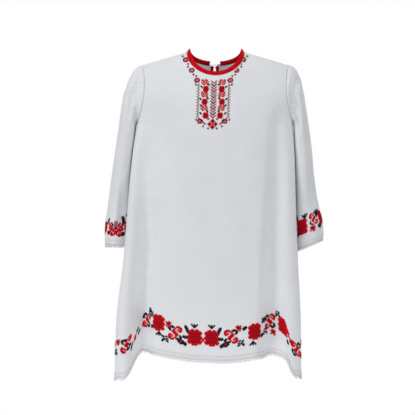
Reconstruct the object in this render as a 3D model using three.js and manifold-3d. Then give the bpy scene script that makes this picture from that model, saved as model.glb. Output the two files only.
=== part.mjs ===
// A child's white folk tunic dress with a red bound neck and a keyhole at the back. It has its worn
// form: hollow, filled out and held at the shoulders, with nobody in it. Millimetres, +Z up, the
// front faces -Y and +X is on the viewer's right. The origin is on the shoulder line, at the middle
// of the neck.
import * as THREE from 'three';
import { mergeVertices } from 'three/addons/utils/BufferGeometryUtils.js';
import Module from 'manifold-3d';

// Cloth and seams
const CLOTH = 1.6; // wall of the body and the sleeves
const LACE = 1.2; // wall of the crochet edging
const SEAM = 0.3; // gap between two sewn pieces
const LACE_DROP = 9; // depth of the edging, with its points
const LACE_GAP = 1.1; // below the hem, which keeps its steep stretches 0.3 open
const LACE_POINT = 2.6; // how far a point of the edging hangs below its notch
const LACE_PITCH = 9; // from one point to the next

// Neck and shoulders
const NECK_HALF = 62; // half the width of the neck seam, at the shoulder line
const NECK_DROP = { front: 51, back: 29 };
const SHOULDER_HALF = 156.5; // from the middle to the armhole, along X
const SHOULDER_TIP_Z = -28;
const SHOULDER_ROLL = { front: 150, back: 167 }; // height over which a panel curves over the top

// Armholes: an upright oval from the shoulder tip down to the underarm
const UNDERARM_Z = -157;
const ARMHOLE_HALF_DEPTH = 44;
const ARMHOLE_BOW = 10; // how far the middle of the seam curves in towards the chest
const ARMHOLE_NARROWING = 0.24; // how much narrower the oval is towards the shoulder tip
const ARMHOLE_GAP = 0.5; // along X, which keeps the slanted seam about 0.3 open

// Binding of the neck and of the keyhole
const BINDING_HEIGHT = 9.5;
const BINDING_THICK = 2.6;
const BINDING_END = { left: -13, right: 11 }; // where the neck binding stops beside the keyhole
const KEYHOLE = { x: -2, top: 2, half: 7.5, centre_z: -86, band: 5 };

// Button and loop at the top of the keyhole
const BUTTON = { x: 8, below_neck: 1, radius: 5, thick: 2.2, shank_radius: 1.5, foot: -0.25 };
const LOOP = { left: -11, half_height: 2.9, cord_radius: 0.8, height: 1.45 };

// The bare body form, a row for each height: side seams, middle, and depth to the front and back
const BODY = [
  { z: 30, left: -156.5, right: 156.5, centre: 0, front: 48, back: 44 },
  { z: -28, left: -156.5, right: 156.5, centre: 0, front: 54, back: 52 },
  { z: -90, left: -163, right: 163, centre: -1, front: 64, back: 62 },
  { z: -157, left: -170, right: 167, centre: -2, front: 72, back: 68 },
  { z: -243, left: -178, right: 169, centre: -5, front: 78, back: 72 },
  { z: -330, left: -182, right: 170, centre: -9, front: 84, back: 76 },
  { z: -424, left: -186, right: 171, centre: -12, front: 91, back: 82 },
  { z: -500, left: -194, right: 174, centre: -13, front: 97, back: 88 },
  { z: -600, left: -202, right: 178, centre: -14, front: 105, back: 95 },
  { z: -710, left: -206, right: 180, centre: -14, front: 112, back: 102 },
];
const ROUNDNESS = 0.83; // 1 is an ellipse, less is boxier

// Large folds: where each lies at its top and at the hem (-1 and 1 are the side seams), how wide it
// is, the height where it starts, how far it stands out (+) or sinks in (-) at the hem, and how much
// of that is sideways where the cloth turns to the side. They are full grown at FOLD_BOTTOM_Z.
const FOLD_BOTTOM_Z = -664;
const FOLDS = [
  { panel: 'front', at_top: -0.62, at_hem: -0.49, width: 0.15, starts: -150, lift: -29, sideways: 0.3 },
  { panel: 'front', at_top: -0.8, at_hem: -0.71, width: 0.25, starts: -120, lift: 36, sideways: 0.7 },
  { panel: 'front', at_top: 0.56, at_hem: 0.43, width: 0.15, starts: -110, lift: -25, sideways: 0.3 },
  { panel: 'front', at_top: 0.78, at_hem: 0.68, width: 0.25, starts: -120, lift: 27, sideways: 0.9 },
  { panel: 'back', at_top: -0.3, at_hem: -0.34, width: 0.17, starts: -170, lift: -22, sideways: 0.4 },
  { panel: 'back', at_top: -0.6, at_hem: -0.62, width: 0.2, starts: -250, lift: 18, sideways: 0.5 },
  { panel: 'back', at_top: 0.02, at_hem: 0.05, width: 0.24, starts: -150, lift: 12, sideways: 0.5 },
  { panel: 'back', at_top: 0.36, at_hem: 0.42, width: 0.18, starts: -200, lift: -24, sideways: 0.4 },
  { panel: 'back', at_top: 0.66, at_hem: 0.68, width: 0.2, starts: -250, lift: 16, sideways: 0.5 },
];

// Height of the hem's lowest line, lace points and all, across each panel
const HEM = {
  front: [
    { at: -1, z: -690 },
    { at: -0.82, z: -702 },
    { at: -0.68, z: -702 },
    { at: -0.61, z: -694 },
    { at: -0.55, z: -654 },
    { at: -0.49, z: -645 },
    { at: -0.4, z: -649 },
    { at: -0.2, z: -659 },
    { at: 0, z: -666 },
    { at: 0.14, z: -666 },
    { at: 0.35, z: -658 },
    { at: 0.55, z: -658 },
    { at: 0.61, z: -690 },
    { at: 0.68, z: -699 },
    { at: 0.84, z: -701 },
    { at: 1, z: -690 },
  ],
  back: [
    { at: -1, z: -690 },
    { at: -0.86, z: -688 },
    { at: -0.66, z: -655 },
    { at: -0.34, z: -647 },
    { at: 0.05, z: -656 },
    { at: 0.42, z: -648 },
    { at: 0.66, z: -654 },
    { at: 0.86, z: -688 },
    { at: 1, z: -690 },
  ],
};

// Sleeves, a row for each ring from the armhole to the cuff: the crown is the outer line and the
// underarm the inner line, both distances from the middle; depth is half the ring's size along Y
const SLEEVES = {
  left: [
    { crown: 156.5, crown_z: -28, under: 170, under_z: -157, depth: 44, y: 0 },
    { crown: 169, crown_z: -34, under: 172.5, under_z: -160, depth: 45, y: 0 },
    { crown: 180, crown_z: -49, under: 174.5, under_z: -169, depth: 46, y: 1 },
    { crown: 191, crown_z: -74, under: 176, under_z: -186, depth: 47, y: 3 },
    { crown: 201, crown_z: -112, under: 179.5, under_z: -212, depth: 48, y: 6 },
    { crown: 209, crown_z: -166, under: 184, under_z: -250, depth: 48, y: 10 },
    { crown: 217, crown_z: -222, under: 188, under_z: -290, depth: 48, y: 14 },
    { crown: 225, crown_z: -280, under: 189.5, under_z: -328, depth: 47, y: 18 },
    { crown: 232, crown_z: -334, under: 190.5, under_z: -364, depth: 46, y: 20 },
    { crown: 237, crown_z: -378, under: 191, under_z: -396, depth: 45, y: 21 },
    { crown: 237.5, crown_z: -425, under: 191, under_z: -420, depth: 45, y: 22 },
  ],
  right: [
    { crown: 156.5, crown_z: -28, under: 167, under_z: -157, depth: 44, y: 0 },
    { crown: 168, crown_z: -33, under: 169, under_z: -160, depth: 45, y: 0 },
    { crown: 179, crown_z: -50, under: 170, under_z: -169, depth: 46, y: 1 },
    { crown: 186, crown_z: -74, under: 170.8, under_z: -186, depth: 47, y: 3 },
    { crown: 193, crown_z: -112, under: 171.8, under_z: -212, depth: 48, y: 6 },
    { crown: 201.5, crown_z: -166, under: 174, under_z: -250, depth: 48, y: 9 },
    { crown: 208, crown_z: -222, under: 176, under_z: -290, depth: 48, y: 12 },
    { crown: 213.5, crown_z: -280, under: 176.5, under_z: -328, depth: 47, y: 14 },
    { crown: 222, crown_z: -330, under: 177, under_z: -366, depth: 46, y: 14 },
    { crown: 231, crown_z: -372, under: 177, under_z: -400, depth: 45, y: 14 },
    { crown: 231, crown_z: -408, under: 177, under_z: -430, depth: 45, y: 14 },
  ],
};
const LACE_RINGS = 0.3; // rows of a sleeve's table that its edging takes up

// Folds of a sleeve: its ring and angle (0 at the crown, 90 in front, 180 underarm, 270 behind),
// how far it reaches both ways, and how far it stands out (+) or sinks in (-)
const SLEEVE_FOLDS = [
  { sleeve: 'left', ring: 2.6, reach: 2.2, angle: 82, spread: 40, lift: -9 },
  { sleeve: 'left', ring: 7.6, reach: 2.6, angle: 120, spread: 42, lift: -7 },
  { sleeve: 'left', ring: 2.8, reach: 2.2, angle: 285, spread: 40, lift: -8 },
  { sleeve: 'right', ring: 2.4, reach: 2.1, angle: 100, spread: 42, lift: -10 },
  { sleeve: 'right', ring: 7.2, reach: 2.4, angle: 62, spread: 40, lift: -5 },
  { sleeve: 'right', ring: 2.8, reach: 2.2, angle: 275, spread: 40, lift: -8 },
];

// How finely the walls are divided
const SIDE_COLUMNS = 14; // from the neck to a side seam
const NECK_COLUMNS = 12; // across the neck
const LOWER_ROWS = 11; // hem to underarm
const UPPER_ROWS = 9; // underarm to shoulder, half way round the armhole
const RING_STEPS = 2; // rings of a sleeve between two rows of its table

const WHITE = { color: 0xe4e6ea, roughness: 0.82 };
const RED = { color: 0xb80f1c, roughness: 0.6 };
const LACE_WHITE = { color: 0xeceded, roughness: 0.85 };
const BUTTON_WHITE = { color: 0xe8e6e0, roughness: 0.35 };

const vec = (x, y, z) => new THREE.Vector3(x, y, z);
const lerp = THREE.MathUtils.lerp;
const ease = (t) => THREE.MathUtils.smoothstep(t, 0, 1);
const power = (value, exponent) => Math.sign(value) * Math.abs(value) ** exponent;
const hump = (t) => (Math.abs(t) < 1 ? Math.cos((t * Math.PI) / 2) ** 2 : 0);

// A smooth curve through one named column of a table, read at a value of its key column
function column(table, key, name, value) {
  const rising = table[table.length - 1][key] > table[0][key];
  const passed = (row) => (rising ? row[key] <= value : row[key] >= value);
  let last = 0;
  for (let i = 0; i < table.length - 1; i++) if (passed(table[i])) last = i;
  const slope = (i) => {
    const a = table[Math.max(i - 1, 0)];
    const b = table[Math.min(i + 1, table.length - 1)];
    return (b[name] - a[name]) / (b[key] - a[key]);
  };
  const from = table[last];
  const to = table[last + 1];
  const span = to[key] - from[key];
  const t = THREE.MathUtils.clamp((value - from[key]) / span, 0, 1);
  const bend = from[name] + slope(last) * span * t;
  const aim = to[name] - slope(last + 1) * span * (1 - t);
  return lerp(bend, aim, ease(t));
}

// ---- the body form ----

const armholeMiddle = (SHOULDER_TIP_Z + UNDERARM_Z) / 2;
const armholeHalf = (SHOULDER_TIP_Z - UNDERARM_Z) / 2;

// A height as -1 at the underarm to 1 at the shoulder tip
const armholeHeight = (z) => THREE.MathUtils.clamp((z - armholeMiddle) / armholeHalf, -1, 1);

// Half the armhole's depth at such a height
const armholeDepth = (height) =>
  ARMHOLE_HALF_DEPTH *
  Math.sqrt(1 - height * height) *
  (1 - ARMHOLE_NARROWING * Math.max(0, height));

// X of the side seam, and above the underarm of the armhole seam
function sideX(side, z) {
  if (z < UNDERARM_Z) return column(BODY, 'z', side, z);
  const seam = column(BODY, 'z', side, UNDERARM_Z);
  const tip = Math.sign(seam) * SHOULDER_HALF;
  const height = armholeHeight(z);
  return lerp(seam, tip, (height + 1) / 2) - Math.sign(seam) * ARMHOLE_BOW * (1 - height * height);
}

const shoulderLine = (x) =>
  (SHOULDER_TIP_Z * (Math.abs(x) - NECK_HALF)) / (SHOULDER_HALF - NECK_HALF);

// How far a panel has curved down from the shoulder line: 0 on the line, 1 once it hangs
function rolled(panel, x, z) {
  const t = THREE.MathUtils.clamp((shoulderLine(x) - z) / SHOULDER_ROLL[panel], 0, 1);
  return Math.sqrt(1 - (1 - t) ** 3);
}

// How far the folds move a point of a panel, sideways and towards its own side
function foldShift(panel, at, z, angle, half, depth) {
  let sideways = 0;
  let out = 0;
  for (const fold of FOLDS) {
    if (fold.panel !== panel) continue;
    const down = THREE.MathUtils.clamp((fold.starts - z) / (fold.starts - FOLD_BOTTOM_Z), 0, 1);
    const place = lerp(fold.at_top, fold.at_hem, down);
    const size = fold.lift * Math.sin((down * Math.PI) / 2) * hump((at - place) / fold.width);
    const x = (fold.sideways * Math.sin(angle)) / half;
    const y = Math.cos(angle) / depth;
    sideways += (size * x) / Math.hypot(x, y);
    out += (size * y) / Math.hypot(x, y);
  }
  const fade = 1 - at ** 10;
  return { sideways: sideways * fade, out: out * fade };
}

// The body's oval at a height: its middle, its half width and depth, and the angle from the middle
// of the panel to its edge. Above the underarm the edge is where the armhole cuts the oval.
function ovalAt(panel, side, z) {
  const level = Math.min(z, SHOULDER_TIP_Z - 0.01);
  const centre = column(BODY, 'z', 'centre', level);
  const depth = column(BODY, 'z', panel, level);
  const edge = sideX(side, level);
  const open = armholeDepth(armholeHeight(level));
  const forward = open / (depth * rolled(panel, edge, level));
  const angle = Math.acos(forward ** (1 / ROUNDNESS));
  return { centre, depth, angle, half: Math.abs(edge - centre) / Math.sin(angle) ** ROUNDNESS };
}

// A point of a panel's outer face: at runs from -1 (left edge) to 1 (right edge)
function bodyPoint(panel, at, z) {
  const facing = panel === 'front' ? -1 : 1;
  const { centre, depth, angle: edge, half } = ovalAt(panel, at < 0 ? 'left' : 'right', z);
  const angle = at * edge;
  const x = centre + half * power(Math.sin(angle), ROUNDNESS);
  const y = depth * power(Math.cos(angle), ROUNDNESS) * rolled(panel, x, z);
  const { sideways, out } = foldShift(panel, at, z, angle, half, depth);
  return vec(x + sideways, facing * (SEAM / 2 + y + out), z);
}

// The place across a panel that lies at x on the level of the shoulders
function placeAcross(panel, x) {
  const { half, angle } = ovalAt(panel, 'left', SHOULDER_TIP_Z);
  return (Math.sign(x) * Math.asin((Math.abs(x) / half) ** (1 / ROUNDNESS))) / angle;
}

// X of the neck seam at each of its columns
const neckX = (index) => NECK_HALF * Math.sin((index / NECK_COLUMNS - 0.5) * Math.PI);

function neckZ(panel, x) {
  const t = Math.min(1, Math.abs(x) / NECK_HALF);
  return -NECK_DROP[panel] * Math.sqrt(1 - t * t);
}

function columnsAcross(panel) {
  const places = [];
  const neck = placeAcross(panel, NECK_HALF);
  for (let i = 0; i < SIDE_COLUMNS; i++) places.push(lerp(-1, -neck, i / SIDE_COLUMNS));
  for (let i = 0; i <= NECK_COLUMNS; i++) places.push(placeAcross(panel, neckX(i)));
  for (let i = 1; i <= SIDE_COLUMNS; i++) places.push(lerp(neck, 1, i / SIDE_COLUMNS));
  return panel === 'front' ? places : places.reverse();
}

function panelTop(panel, at) {
  const { half, angle } = ovalAt(panel, 'left', SHOULDER_TIP_Z);
  const x = half * power(Math.sin(at * angle), ROUNDNESS);
  return Math.abs(x) < NECK_HALF - 1e-6 ? neckZ(panel, x) : shoulderLine(x);
}

const clothHem = (panel, at) => column(HEM[panel], 'at', 'z', at) + LACE_DROP;

// ---- closed walls from grids of points ----

// The outward normal at each point of a grid, from its neighbours
function gridNormals(points, wraps) {
  const rows = points.length;
  const columns = points[0].length;
  return points.map((row, i) =>
    row.map((_, j) => {
      const before = wraps ? (j + columns - 1) % columns : Math.max(j - 1, 0);
      const after = wraps ? (j + 1) % columns : Math.min(j + 1, columns - 1);
      const along = row[after].clone().sub(row[before]);
      const up = points[Math.min(i + 1, rows - 1)][j].clone().sub(points[Math.max(i - 1, 0)][j]);
      return along.cross(up).normalize();
    }),
  );
}

// A wall between two grids of points, closed along its edges
function wallBetween(outer, inner, wraps) {
  const rows = outer.length;
  const columns = outer[0].length;
  const positions = [...outer.flat(), ...inner.flat()].flatMap((p) => [p.x, p.y, p.z]);
  const faces = [];
  const out = (i, j) => i * columns + (j % columns);
  const inn = (i, j) => rows * columns + out(i, j);
  const quad = (a, b, c, d) => faces.push(a, b, c, a, c, d);
  const across = wraps ? columns : columns - 1;
  for (let i = 0; i < rows - 1; i++) {
    for (let j = 0; j < across; j++) {
      quad(out(i, j), out(i, j + 1), out(i + 1, j + 1), out(i + 1, j));
      quad(inn(i, j), inn(i + 1, j), inn(i + 1, j + 1), inn(i, j + 1));
    }
  }
  for (let j = 0; j < across; j++) {
    quad(inn(0, j), inn(0, j + 1), out(0, j + 1), out(0, j));
    quad(out(rows - 1, j), out(rows - 1, j + 1), inn(rows - 1, j + 1), inn(rows - 1, j));
  }
  for (let i = 0; i < rows - 1 && !wraps; i++) {
    const end = columns - 1;
    quad(inn(i, 0), out(i, 0), out(i + 1, 0), inn(i + 1, 0));
    quad(out(i, end), inn(i, end), inn(i + 1, end), out(i + 1, end));
  }
  const geometry = new THREE.BufferGeometry();
  geometry.setAttribute('position', new THREE.Float32BufferAttribute(positions, 3));
  geometry.setIndex(faces);
  return geometry;
}

function wall(points, thick, wraps, adjust = () => {}) {
  const normals = gridNormals(points, wraps);
  adjust(normals);
  const inner = points.map((row, i) =>
    row.map((p, j) => p.clone().addScaledVector(normals[i][j], -thick)),
  );
  return wallBetween(points, inner, wraps);
}

function named(name, geometry, look) {
  const mesh = new THREE.Mesh(geometry, new THREE.MeshStandardMaterial({ ...look, metalness: 0 }));
  mesh.name = name;
  return mesh;
}

// ---- front, back and their edging ----

// Rows run up from the hem, and columns to the right as the panel is seen from outside
function panelPoints(panel) {
  const places = columnsAcross(panel);
  const rows = [];
  for (let i = 0; i <= LOWER_ROWS; i++) {
    rows.push(places.map((at) => {
      return bodyPoint(panel, at, lerp(clothHem(panel, at), UNDERARM_Z, i / LOWER_ROWS));
    }));
  }
  for (let i = 1; i <= UPPER_ROWS; i++) {
    const t = (1 - Math.cos((Math.PI * i) / UPPER_ROWS)) / 2;
    rows.push(places.map((at) => bodyPoint(panel, at, lerp(UNDERARM_Z, panelTop(panel, at), t))));
  }
  return rows;
}

// Side seams and shoulder seams are cut square, so that the front and the back meet face to face
function squareSeams(normals) {
  const flatten = (normal) => normal.setY(0).normalize();
  const end = normals[0].length - 1;
  for (let i = 0; i <= LOWER_ROWS; i++) [0, end].forEach((j) => flatten(normals[i][j]));
  const top = normals[normals.length - 1];
  for (let j = 0; j <= SIDE_COLUMNS; j++) [j, end - j].forEach((k) => flatten(top[k]));
}

// The edging hangs from the panel's own hem points, and has its points evenly between them
function lacePoints(panel) {
  const places = columnsAcross(panel);
  const below = (drop) => (at) => bodyPoint(panel, at, clothHem(panel, at) - drop);
  const hem = places.map(below(LACE_GAP));
  const edge = places.map(below(LACE_DROP));
  const rows = [[], []];
  for (let i = 0; i < places.length - 1; i++) {
    const steps = 2 * Math.max(1, Math.round(hem[i].distanceTo(hem[i + 1]) / LACE_PITCH));
    const isLast = i === places.length - 2;
    for (let j = 0; j < steps + (isLast ? 1 : 0); j++) {
      const top = hem[i].clone().lerp(hem[i + 1], j / steps);
      const low = edge[i].clone().lerp(edge[i + 1], j / steps);
      rows[0].push(low.lerp(top, j % 2 ? 0 : LACE_POINT / LACE_DROP));
      rows[1].push(top);
    }
  }
  return rows;
}

function squareEnds(normals) {
  for (const row of normals) [row[0], row[row.length - 1]].forEach((n) => n.setY(0).normalize());
}

// ---- sleeves and their edging ----

const lastRing = (side) => SLEEVES[side].length - 1;

// A point of a sleeve's outer face: ring counts rows of its table, angle is 0 at the crown
function sleevePoint(side, ring, angle) {
  const table = SLEEVES[side].map((row, i) => ({ ...row, ring: i }));
  const at = (name) => column(table, 'ring', name, ring);
  const crown = vec(at('crown'), 0, at('crown_z'));
  const under = vec(at('under'), 0, at('under_z'));
  const middle = crown.clone().add(under).multiplyScalar(0.5);
  const reach = crown.clone().sub(middle);
  const point = middle.addScaledVector(reach, Math.cos(angle));
  const narrowing = ARMHOLE_NARROWING * Math.max(0, Math.cos(angle)) * (1 - ease(ring / 3));
  point.y = at('y') - at('depth') * Math.sin(angle) * (1 - narrowing);
  point.x -= ARMHOLE_BOW * Math.sin(angle) ** 2 * (1 - ease(ring / 2));
  const turn = THREE.MathUtils.euclideanModulo(THREE.MathUtils.radToDeg(angle), 360);
  for (const fold of SLEEVE_FOLDS) {
    if (fold.sleeve !== side) continue;
    const depth = hump((turn - fold.angle) / fold.spread) * hump((ring - fold.ring) / fold.reach);
    point.y -= fold.lift * depth * ease(ring / 1.2) * Math.sin(angle);
  }
  return vec((point.x + ARMHOLE_GAP) * (side === 'left' ? -1 : 1), point.y, point.z);
}

function sleeveRing(side, ring, count = 2 * UPPER_ROWS) {
  const turn = side === 'left' ? -1 : 1;
  return Array.from({ length: count }, (_, j) =>
    sleevePoint(side, ring, Math.PI + (turn * 2 * Math.PI * j) / count),
  );
}

function sleevePoints(side) {
  const end = lastRing(side) - LACE_RINGS;
  const steps = Math.round(end * RING_STEPS);
  return Array.from({ length: steps + 1 }, (_, i) => sleeveRing(side, (end * i) / steps));
}

function cuffLacePoints(side) {
  const points = 48;
  const start = sleeveRing(side, lastRing(side) - LACE_RINGS, points);
  const end = sleeveRing(side, lastRing(side), points);
  const top = start.map((p, j) => p.clone().lerp(end[j], (2 * SEAM) / LACE_DROP));
  const low = start.map((p, j) => p.clone().lerp(end[j], j % 2 ? 1 : 1 - LACE_POINT / LACE_DROP));
  return [top, low];
}

// ---- binding ----

// A point of a panel's neck seam and the panel's normal there, at one of its columns
function neckColumn(panel, index) {
  const x = neckX(index);
  const at = placeAcross(panel, x);
  const z = neckZ(panel, x);
  const step = 1;
  const facing = panel === 'front' ? 1 : -1;
  const point = bodyPoint(panel, at, z);
  if (index === 0 || index === NECK_COLUMNS) return { point: point.setY(0), normal: vec(0, 0, 1) };
  const along = bodyPoint(panel, placeAcross(panel, x + step), z).sub(point);
  const up = point.clone().sub(bodyPoint(panel, at, z - step));
  return { point, normal: along.cross(up).multiplyScalar(facing).normalize() };
}

// The same between two columns, where the seam runs straight
function neckSeam(panel, place) {
  const before = Math.min(Math.floor(place), NECK_COLUMNS - 1);
  const from = neckColumn(panel, before);
  const to = neckColumn(panel, before + 1);
  return {
    point: from.point.lerp(to.point, place - before),
    normal: from.normal.lerp(to.normal, place - before).normalize(),
  };
}

// The binding stands up from the neck seam and leans in over the neck
function bindingSection(panel, place, tangent) {
  const { point, normal } = neckSeam(panel, place);
  const turn = (place / NECK_COLUMNS - 0.5) * Math.PI;
  const lean = panel === 'front' ? 0.28 : -0.12;
  const rise = vec(-0.62 * Math.sin(turn), lean * Math.cos(turn), 0.8);
  rise.addScaledVector(tangent, -rise.dot(tangent)).normalize();
  const out = tangent.clone().cross(rise).normalize();
  const foot = point.addScaledVector(normal, -CLOTH / 2);
  foot.addScaledVector(rise, SEAM + CLOTH * 1.3 * Math.abs(normal.dot(rise)));
  const half = BINDING_THICK / 2;
  const corner = (up, side) => foot.clone().addScaledVector(rise, up).addScaledVector(out, side);
  return [
    corner(0, -half),
    corner(BINDING_HEIGHT - 1.2, -half),
    corner(BINDING_HEIGHT, -half * 0.4),
    corner(BINDING_HEIGHT, half * 0.4),
    corner(BINDING_HEIGHT - 1.2, half),
    corner(0, half),
  ];
}

// The panel's columns that the binding passes, from one side of the keyhole round to the other
function bindingStations() {
  const place = (x) => (Math.asin(x / NECK_HALF) / Math.PI + 0.5) * NECK_COLUMNS;
  const first = place(BINDING_END.left);
  const last = place(BINDING_END.right);
  const stations = [['back', first]];
  for (let i = Math.ceil(first) - 1; i >= 0; i--) stations.push(['back', i]);
  for (let i = 1; i < NECK_COLUMNS; i++) stations.push(['front', i]);
  for (let i = NECK_COLUMNS; i > last; i--) stations.push(['back', i]);
  stations.push(['back', last]);
  return stations;
}

// A solid through a row of sections that each go round the same way, capped at both ends
function loft(sections) {
  const round = sections[0].length;
  const positions = sections.flat().flatMap((p) => [p.x, p.y, p.z]);
  const faces = [];
  for (let i = 0; i < sections.length - 1; i++) {
    for (let j = 0; j < round; j++) {
      const a = i * round + j;
      const b = i * round + ((j + 1) % round);
      faces.push(a, b, b + round, a, b + round, a + round);
    }
  }
  const last = (sections.length - 1) * round;
  for (let j = 1; j < round - 1; j++) {
    faces.push(0, j + 1, j, last, last + j, last + j + 1);
  }
  const geometry = new THREE.BufferGeometry();
  geometry.setAttribute('position', new THREE.Float32BufferAttribute(positions, 3));
  geometry.setIndex(faces);
  return geometry;
}

function neckBinding() {
  const stations = bindingStations();
  const seam = stations.map(([panel, place]) => neckSeam(panel, place).point);
  const sections = stations.map(([panel, place], i) => {
    const before = seam[Math.max(i - 1, 0)];
    const after = seam[Math.min(i + 1, seam.length - 1)];
    return bindingSection(panel, place, after.clone().sub(before).normalize());
  });
  return loft(sections);
}

// ---- keyhole ----

// The keyhole's outline at a distance from its open edge, from the top left round to the top right
function keyholeOutline(offset, topZ) {
  const half = KEYHOLE.half + offset;
  const points = [];
  const sideSteps = 5;
  const arcSteps = 10;
  const top = KEYHOLE.top + offset;
  for (let i = 0; i < sideSteps; i++) {
    const t = i / sideSteps;
    points.push([KEYHOLE.x - lerp(top, half, ease(t) * 0.5 + t * 0.5), lerp(topZ, KEYHOLE.centre_z, t)]);
  }
  for (let i = 0; i <= arcSteps; i++) {
    const angle = Math.PI + (Math.PI * i) / arcSteps;
    points.push([KEYHOLE.x + half * Math.cos(angle), KEYHOLE.centre_z + half * Math.sin(angle)]);
  }
  for (let i = sideSteps - 1; i >= 0; i--) {
    points.push([2 * KEYHOLE.x - points[i][0], points[i][1]]);
  }
  return points;
}

// A point of the back's outer face, straight behind x and z and clear of its folds
function backPoint(x, z) {
  const { centre, half, angle } = ovalAt('back', x < 0 ? 'left' : 'right', z);
  const across = (x - centre) / half;
  const at = (Math.sign(across) * Math.asin(Math.abs(across) ** (1 / ROUNDNESS))) / angle;
  return bodyPoint('back', at, z).setX(x);
}

function keyholeBinding() {
  const topZ = neckZ('back', 0) - SEAM;
  const place = (offset) => keyholeOutline(offset, topZ).map(([x, z]) => backPoint(x, z));
  const outer = [place(0), place(KEYHOLE.band)];
  const proud = (BINDING_THICK - CLOTH) / 2;
  const shift = (grid, y) => grid.map((row) => row.map((p) => p.clone().setY(p.y + y)));
  return wallBetween(shift(outer, proud), shift(outer, -CLOTH - proud), false);
}

function prismThrough(outline) {
  const shape = new THREE.Shape(outline.map(([x, z]) => new THREE.Vector2(x, z)));
  const prism = new THREE.ExtrudeGeometry(shape, { depth: 160, bevelEnabled: false });
  return prism.rotateX(Math.PI / 2).translate(0, 165, 0);
}

const wasm = await Module();
wasm.setup();

function toManifold(geometry) {
  const bare = geometry.clone();
  bare.deleteAttribute('normal');
  bare.deleteAttribute('uv');
  const merged = mergeVertices(bare, 1e-4);
  const solid = new wasm.Mesh({
    numProp: 3,
    vertProperties: new Float32Array(merged.attributes.position.array),
    triVerts: new Uint32Array(merged.index.array),
  });
  return new wasm.Manifold(solid);
}

function fromManifold(solid) {
  const { vertProperties, triVerts } = solid.getMesh();
  const geometry = new THREE.BufferGeometry();
  geometry.setAttribute('position', new THREE.BufferAttribute(new Float32Array(vertProperties), 3));
  geometry.setIndex(new THREE.BufferAttribute(new Uint32Array(triVerts), 1));
  return geometry;
}

function backPanel() {
  const uncut = wall(panelPoints('back'), CLOTH, false, squareSeams);
  const notch = prismThrough(keyholeOutline(KEYHOLE.band + SEAM, neckZ('back', 0) + 20));
  return fromManifold(toManifold(uncut).subtract(toManifold(notch)));
}

// ---- button and loop ----

// A group that stands on the back's outer face near the top of the keyhole, +Z pointing outwards
function closureGroup(...pieces) {
  const z = neckZ('back', 0) - BUTTON.below_neck;
  const foot = backPoint(0, z);
  const slope = backPoint(0, z - 4).sub(foot).normalize();
  const out = vec(1, 0, 0).cross(slope).normalize();
  const group = new THREE.Group();
  group.position.copy(foot);
  group.quaternion.setFromRotationMatrix(
    new THREE.Matrix4().makeBasis(vec(-1, 0, 0), out.clone().cross(vec(-1, 0, 0)), out),
  );
  group.add(...pieces);
  return group;
}

function buttonGeometry() {
  const face = LOOP.height + LOOP.cord_radius + SEAM;
  const profile = [
    [0, BUTTON.foot],
    [BUTTON.shank_radius, BUTTON.foot],
    [BUTTON.shank_radius, face],
    [BUTTON.radius - 0.5, face],
    [BUTTON.radius, face + 0.7],
    [BUTTON.radius, face + BUTTON.thick - 0.6],
    [BUTTON.radius - 0.7, face + BUTTON.thick],
    [BUTTON.radius - 1.6, face + BUTTON.thick - 0.4],
    [0, face + BUTTON.thick - 0.4],
  ].map(([radius, height]) => new THREE.Vector2(radius, height));
  return new THREE.LatheGeometry(profile, 16).rotateX(Math.PI / 2).translate(-BUTTON.x, 0, 0);
}

function loopGeometry() {
  const sections = [];
  const around = 20;
  for (let i = 0; i < around; i++) {
    const angle = (2 * Math.PI * i) / around;
    const middle = Math.cos(angle) > 0 ? LOOP.left : BUTTON.x;
    const out = vec(Math.cos(angle), Math.sin(angle), 0);
    const centre = vec(-middle, 0, LOOP.height).addScaledVector(out, LOOP.half_height);
    sections.push(Array.from({ length: 6 }, (_, j) => {
      const turn = (2 * Math.PI * j) / 6;
      const point = centre.clone().addScaledVector(out, LOOP.cord_radius * Math.cos(turn));
      return point.setZ(LOOP.height + LOOP.cord_radius * Math.sin(turn));
    }));
  }
  return ringOf(sections);
}

// A solid through sections that close on themselves, like a ring
function ringOf(sections) {
  const round = sections[0].length;
  const total = sections.length;
  const positions = sections.flat().flatMap((p) => [p.x, p.y, p.z]);
  const faces = [];
  for (let i = 0; i < total; i++) {
    for (let j = 0; j < round; j++) {
      const k = (j + 1) % round;
      const next = ((i + 1) % total) * round;
      faces.push(i * round + j, next + j, next + k, i * round + j, next + k, i * round + k);
    }
  }
  const geometry = new THREE.BufferGeometry();
  geometry.setAttribute('position', new THREE.Float32BufferAttribute(positions, 3));
  geometry.setIndex(faces);
  return geometry;
}

// ---- the dress ----

const dress = new THREE.Group();
dress.add(named('front', wall(panelPoints('front'), CLOTH, false, squareSeams), WHITE));
dress.add(named('back', backPanel(), WHITE));
for (const side of ['left', 'right']) {
  dress.add(named(`sleeve_${side}`, wall(sleevePoints(side), CLOTH, true), WHITE));
  dress.add(named(`cuff_lace_${side}`, wall(cuffLacePoints(side), LACE, true), LACE_WHITE));
}
for (const panel of ['front', 'back']) {
  dress.add(named(`hem_lace_${panel}`, wall(lacePoints(panel), LACE, false, squareEnds), LACE_WHITE));
}
dress.add(named('neck_binding', neckBinding(), RED));
dress.add(named('keyhole_binding', keyholeBinding(), RED));
dress.add(closureGroup(
  named('button', buttonGeometry(), BUTTON_WHITE),
  named('button_loop', loopGeometry(), BUTTON_WHITE),
));

export default dress;
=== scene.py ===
# The looks of the folk tunic dress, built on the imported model. Lengths are in millimetres until a
# mesh is made, +Z is up, the front faces -Y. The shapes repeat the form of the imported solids.
from math import asin, pi

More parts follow.
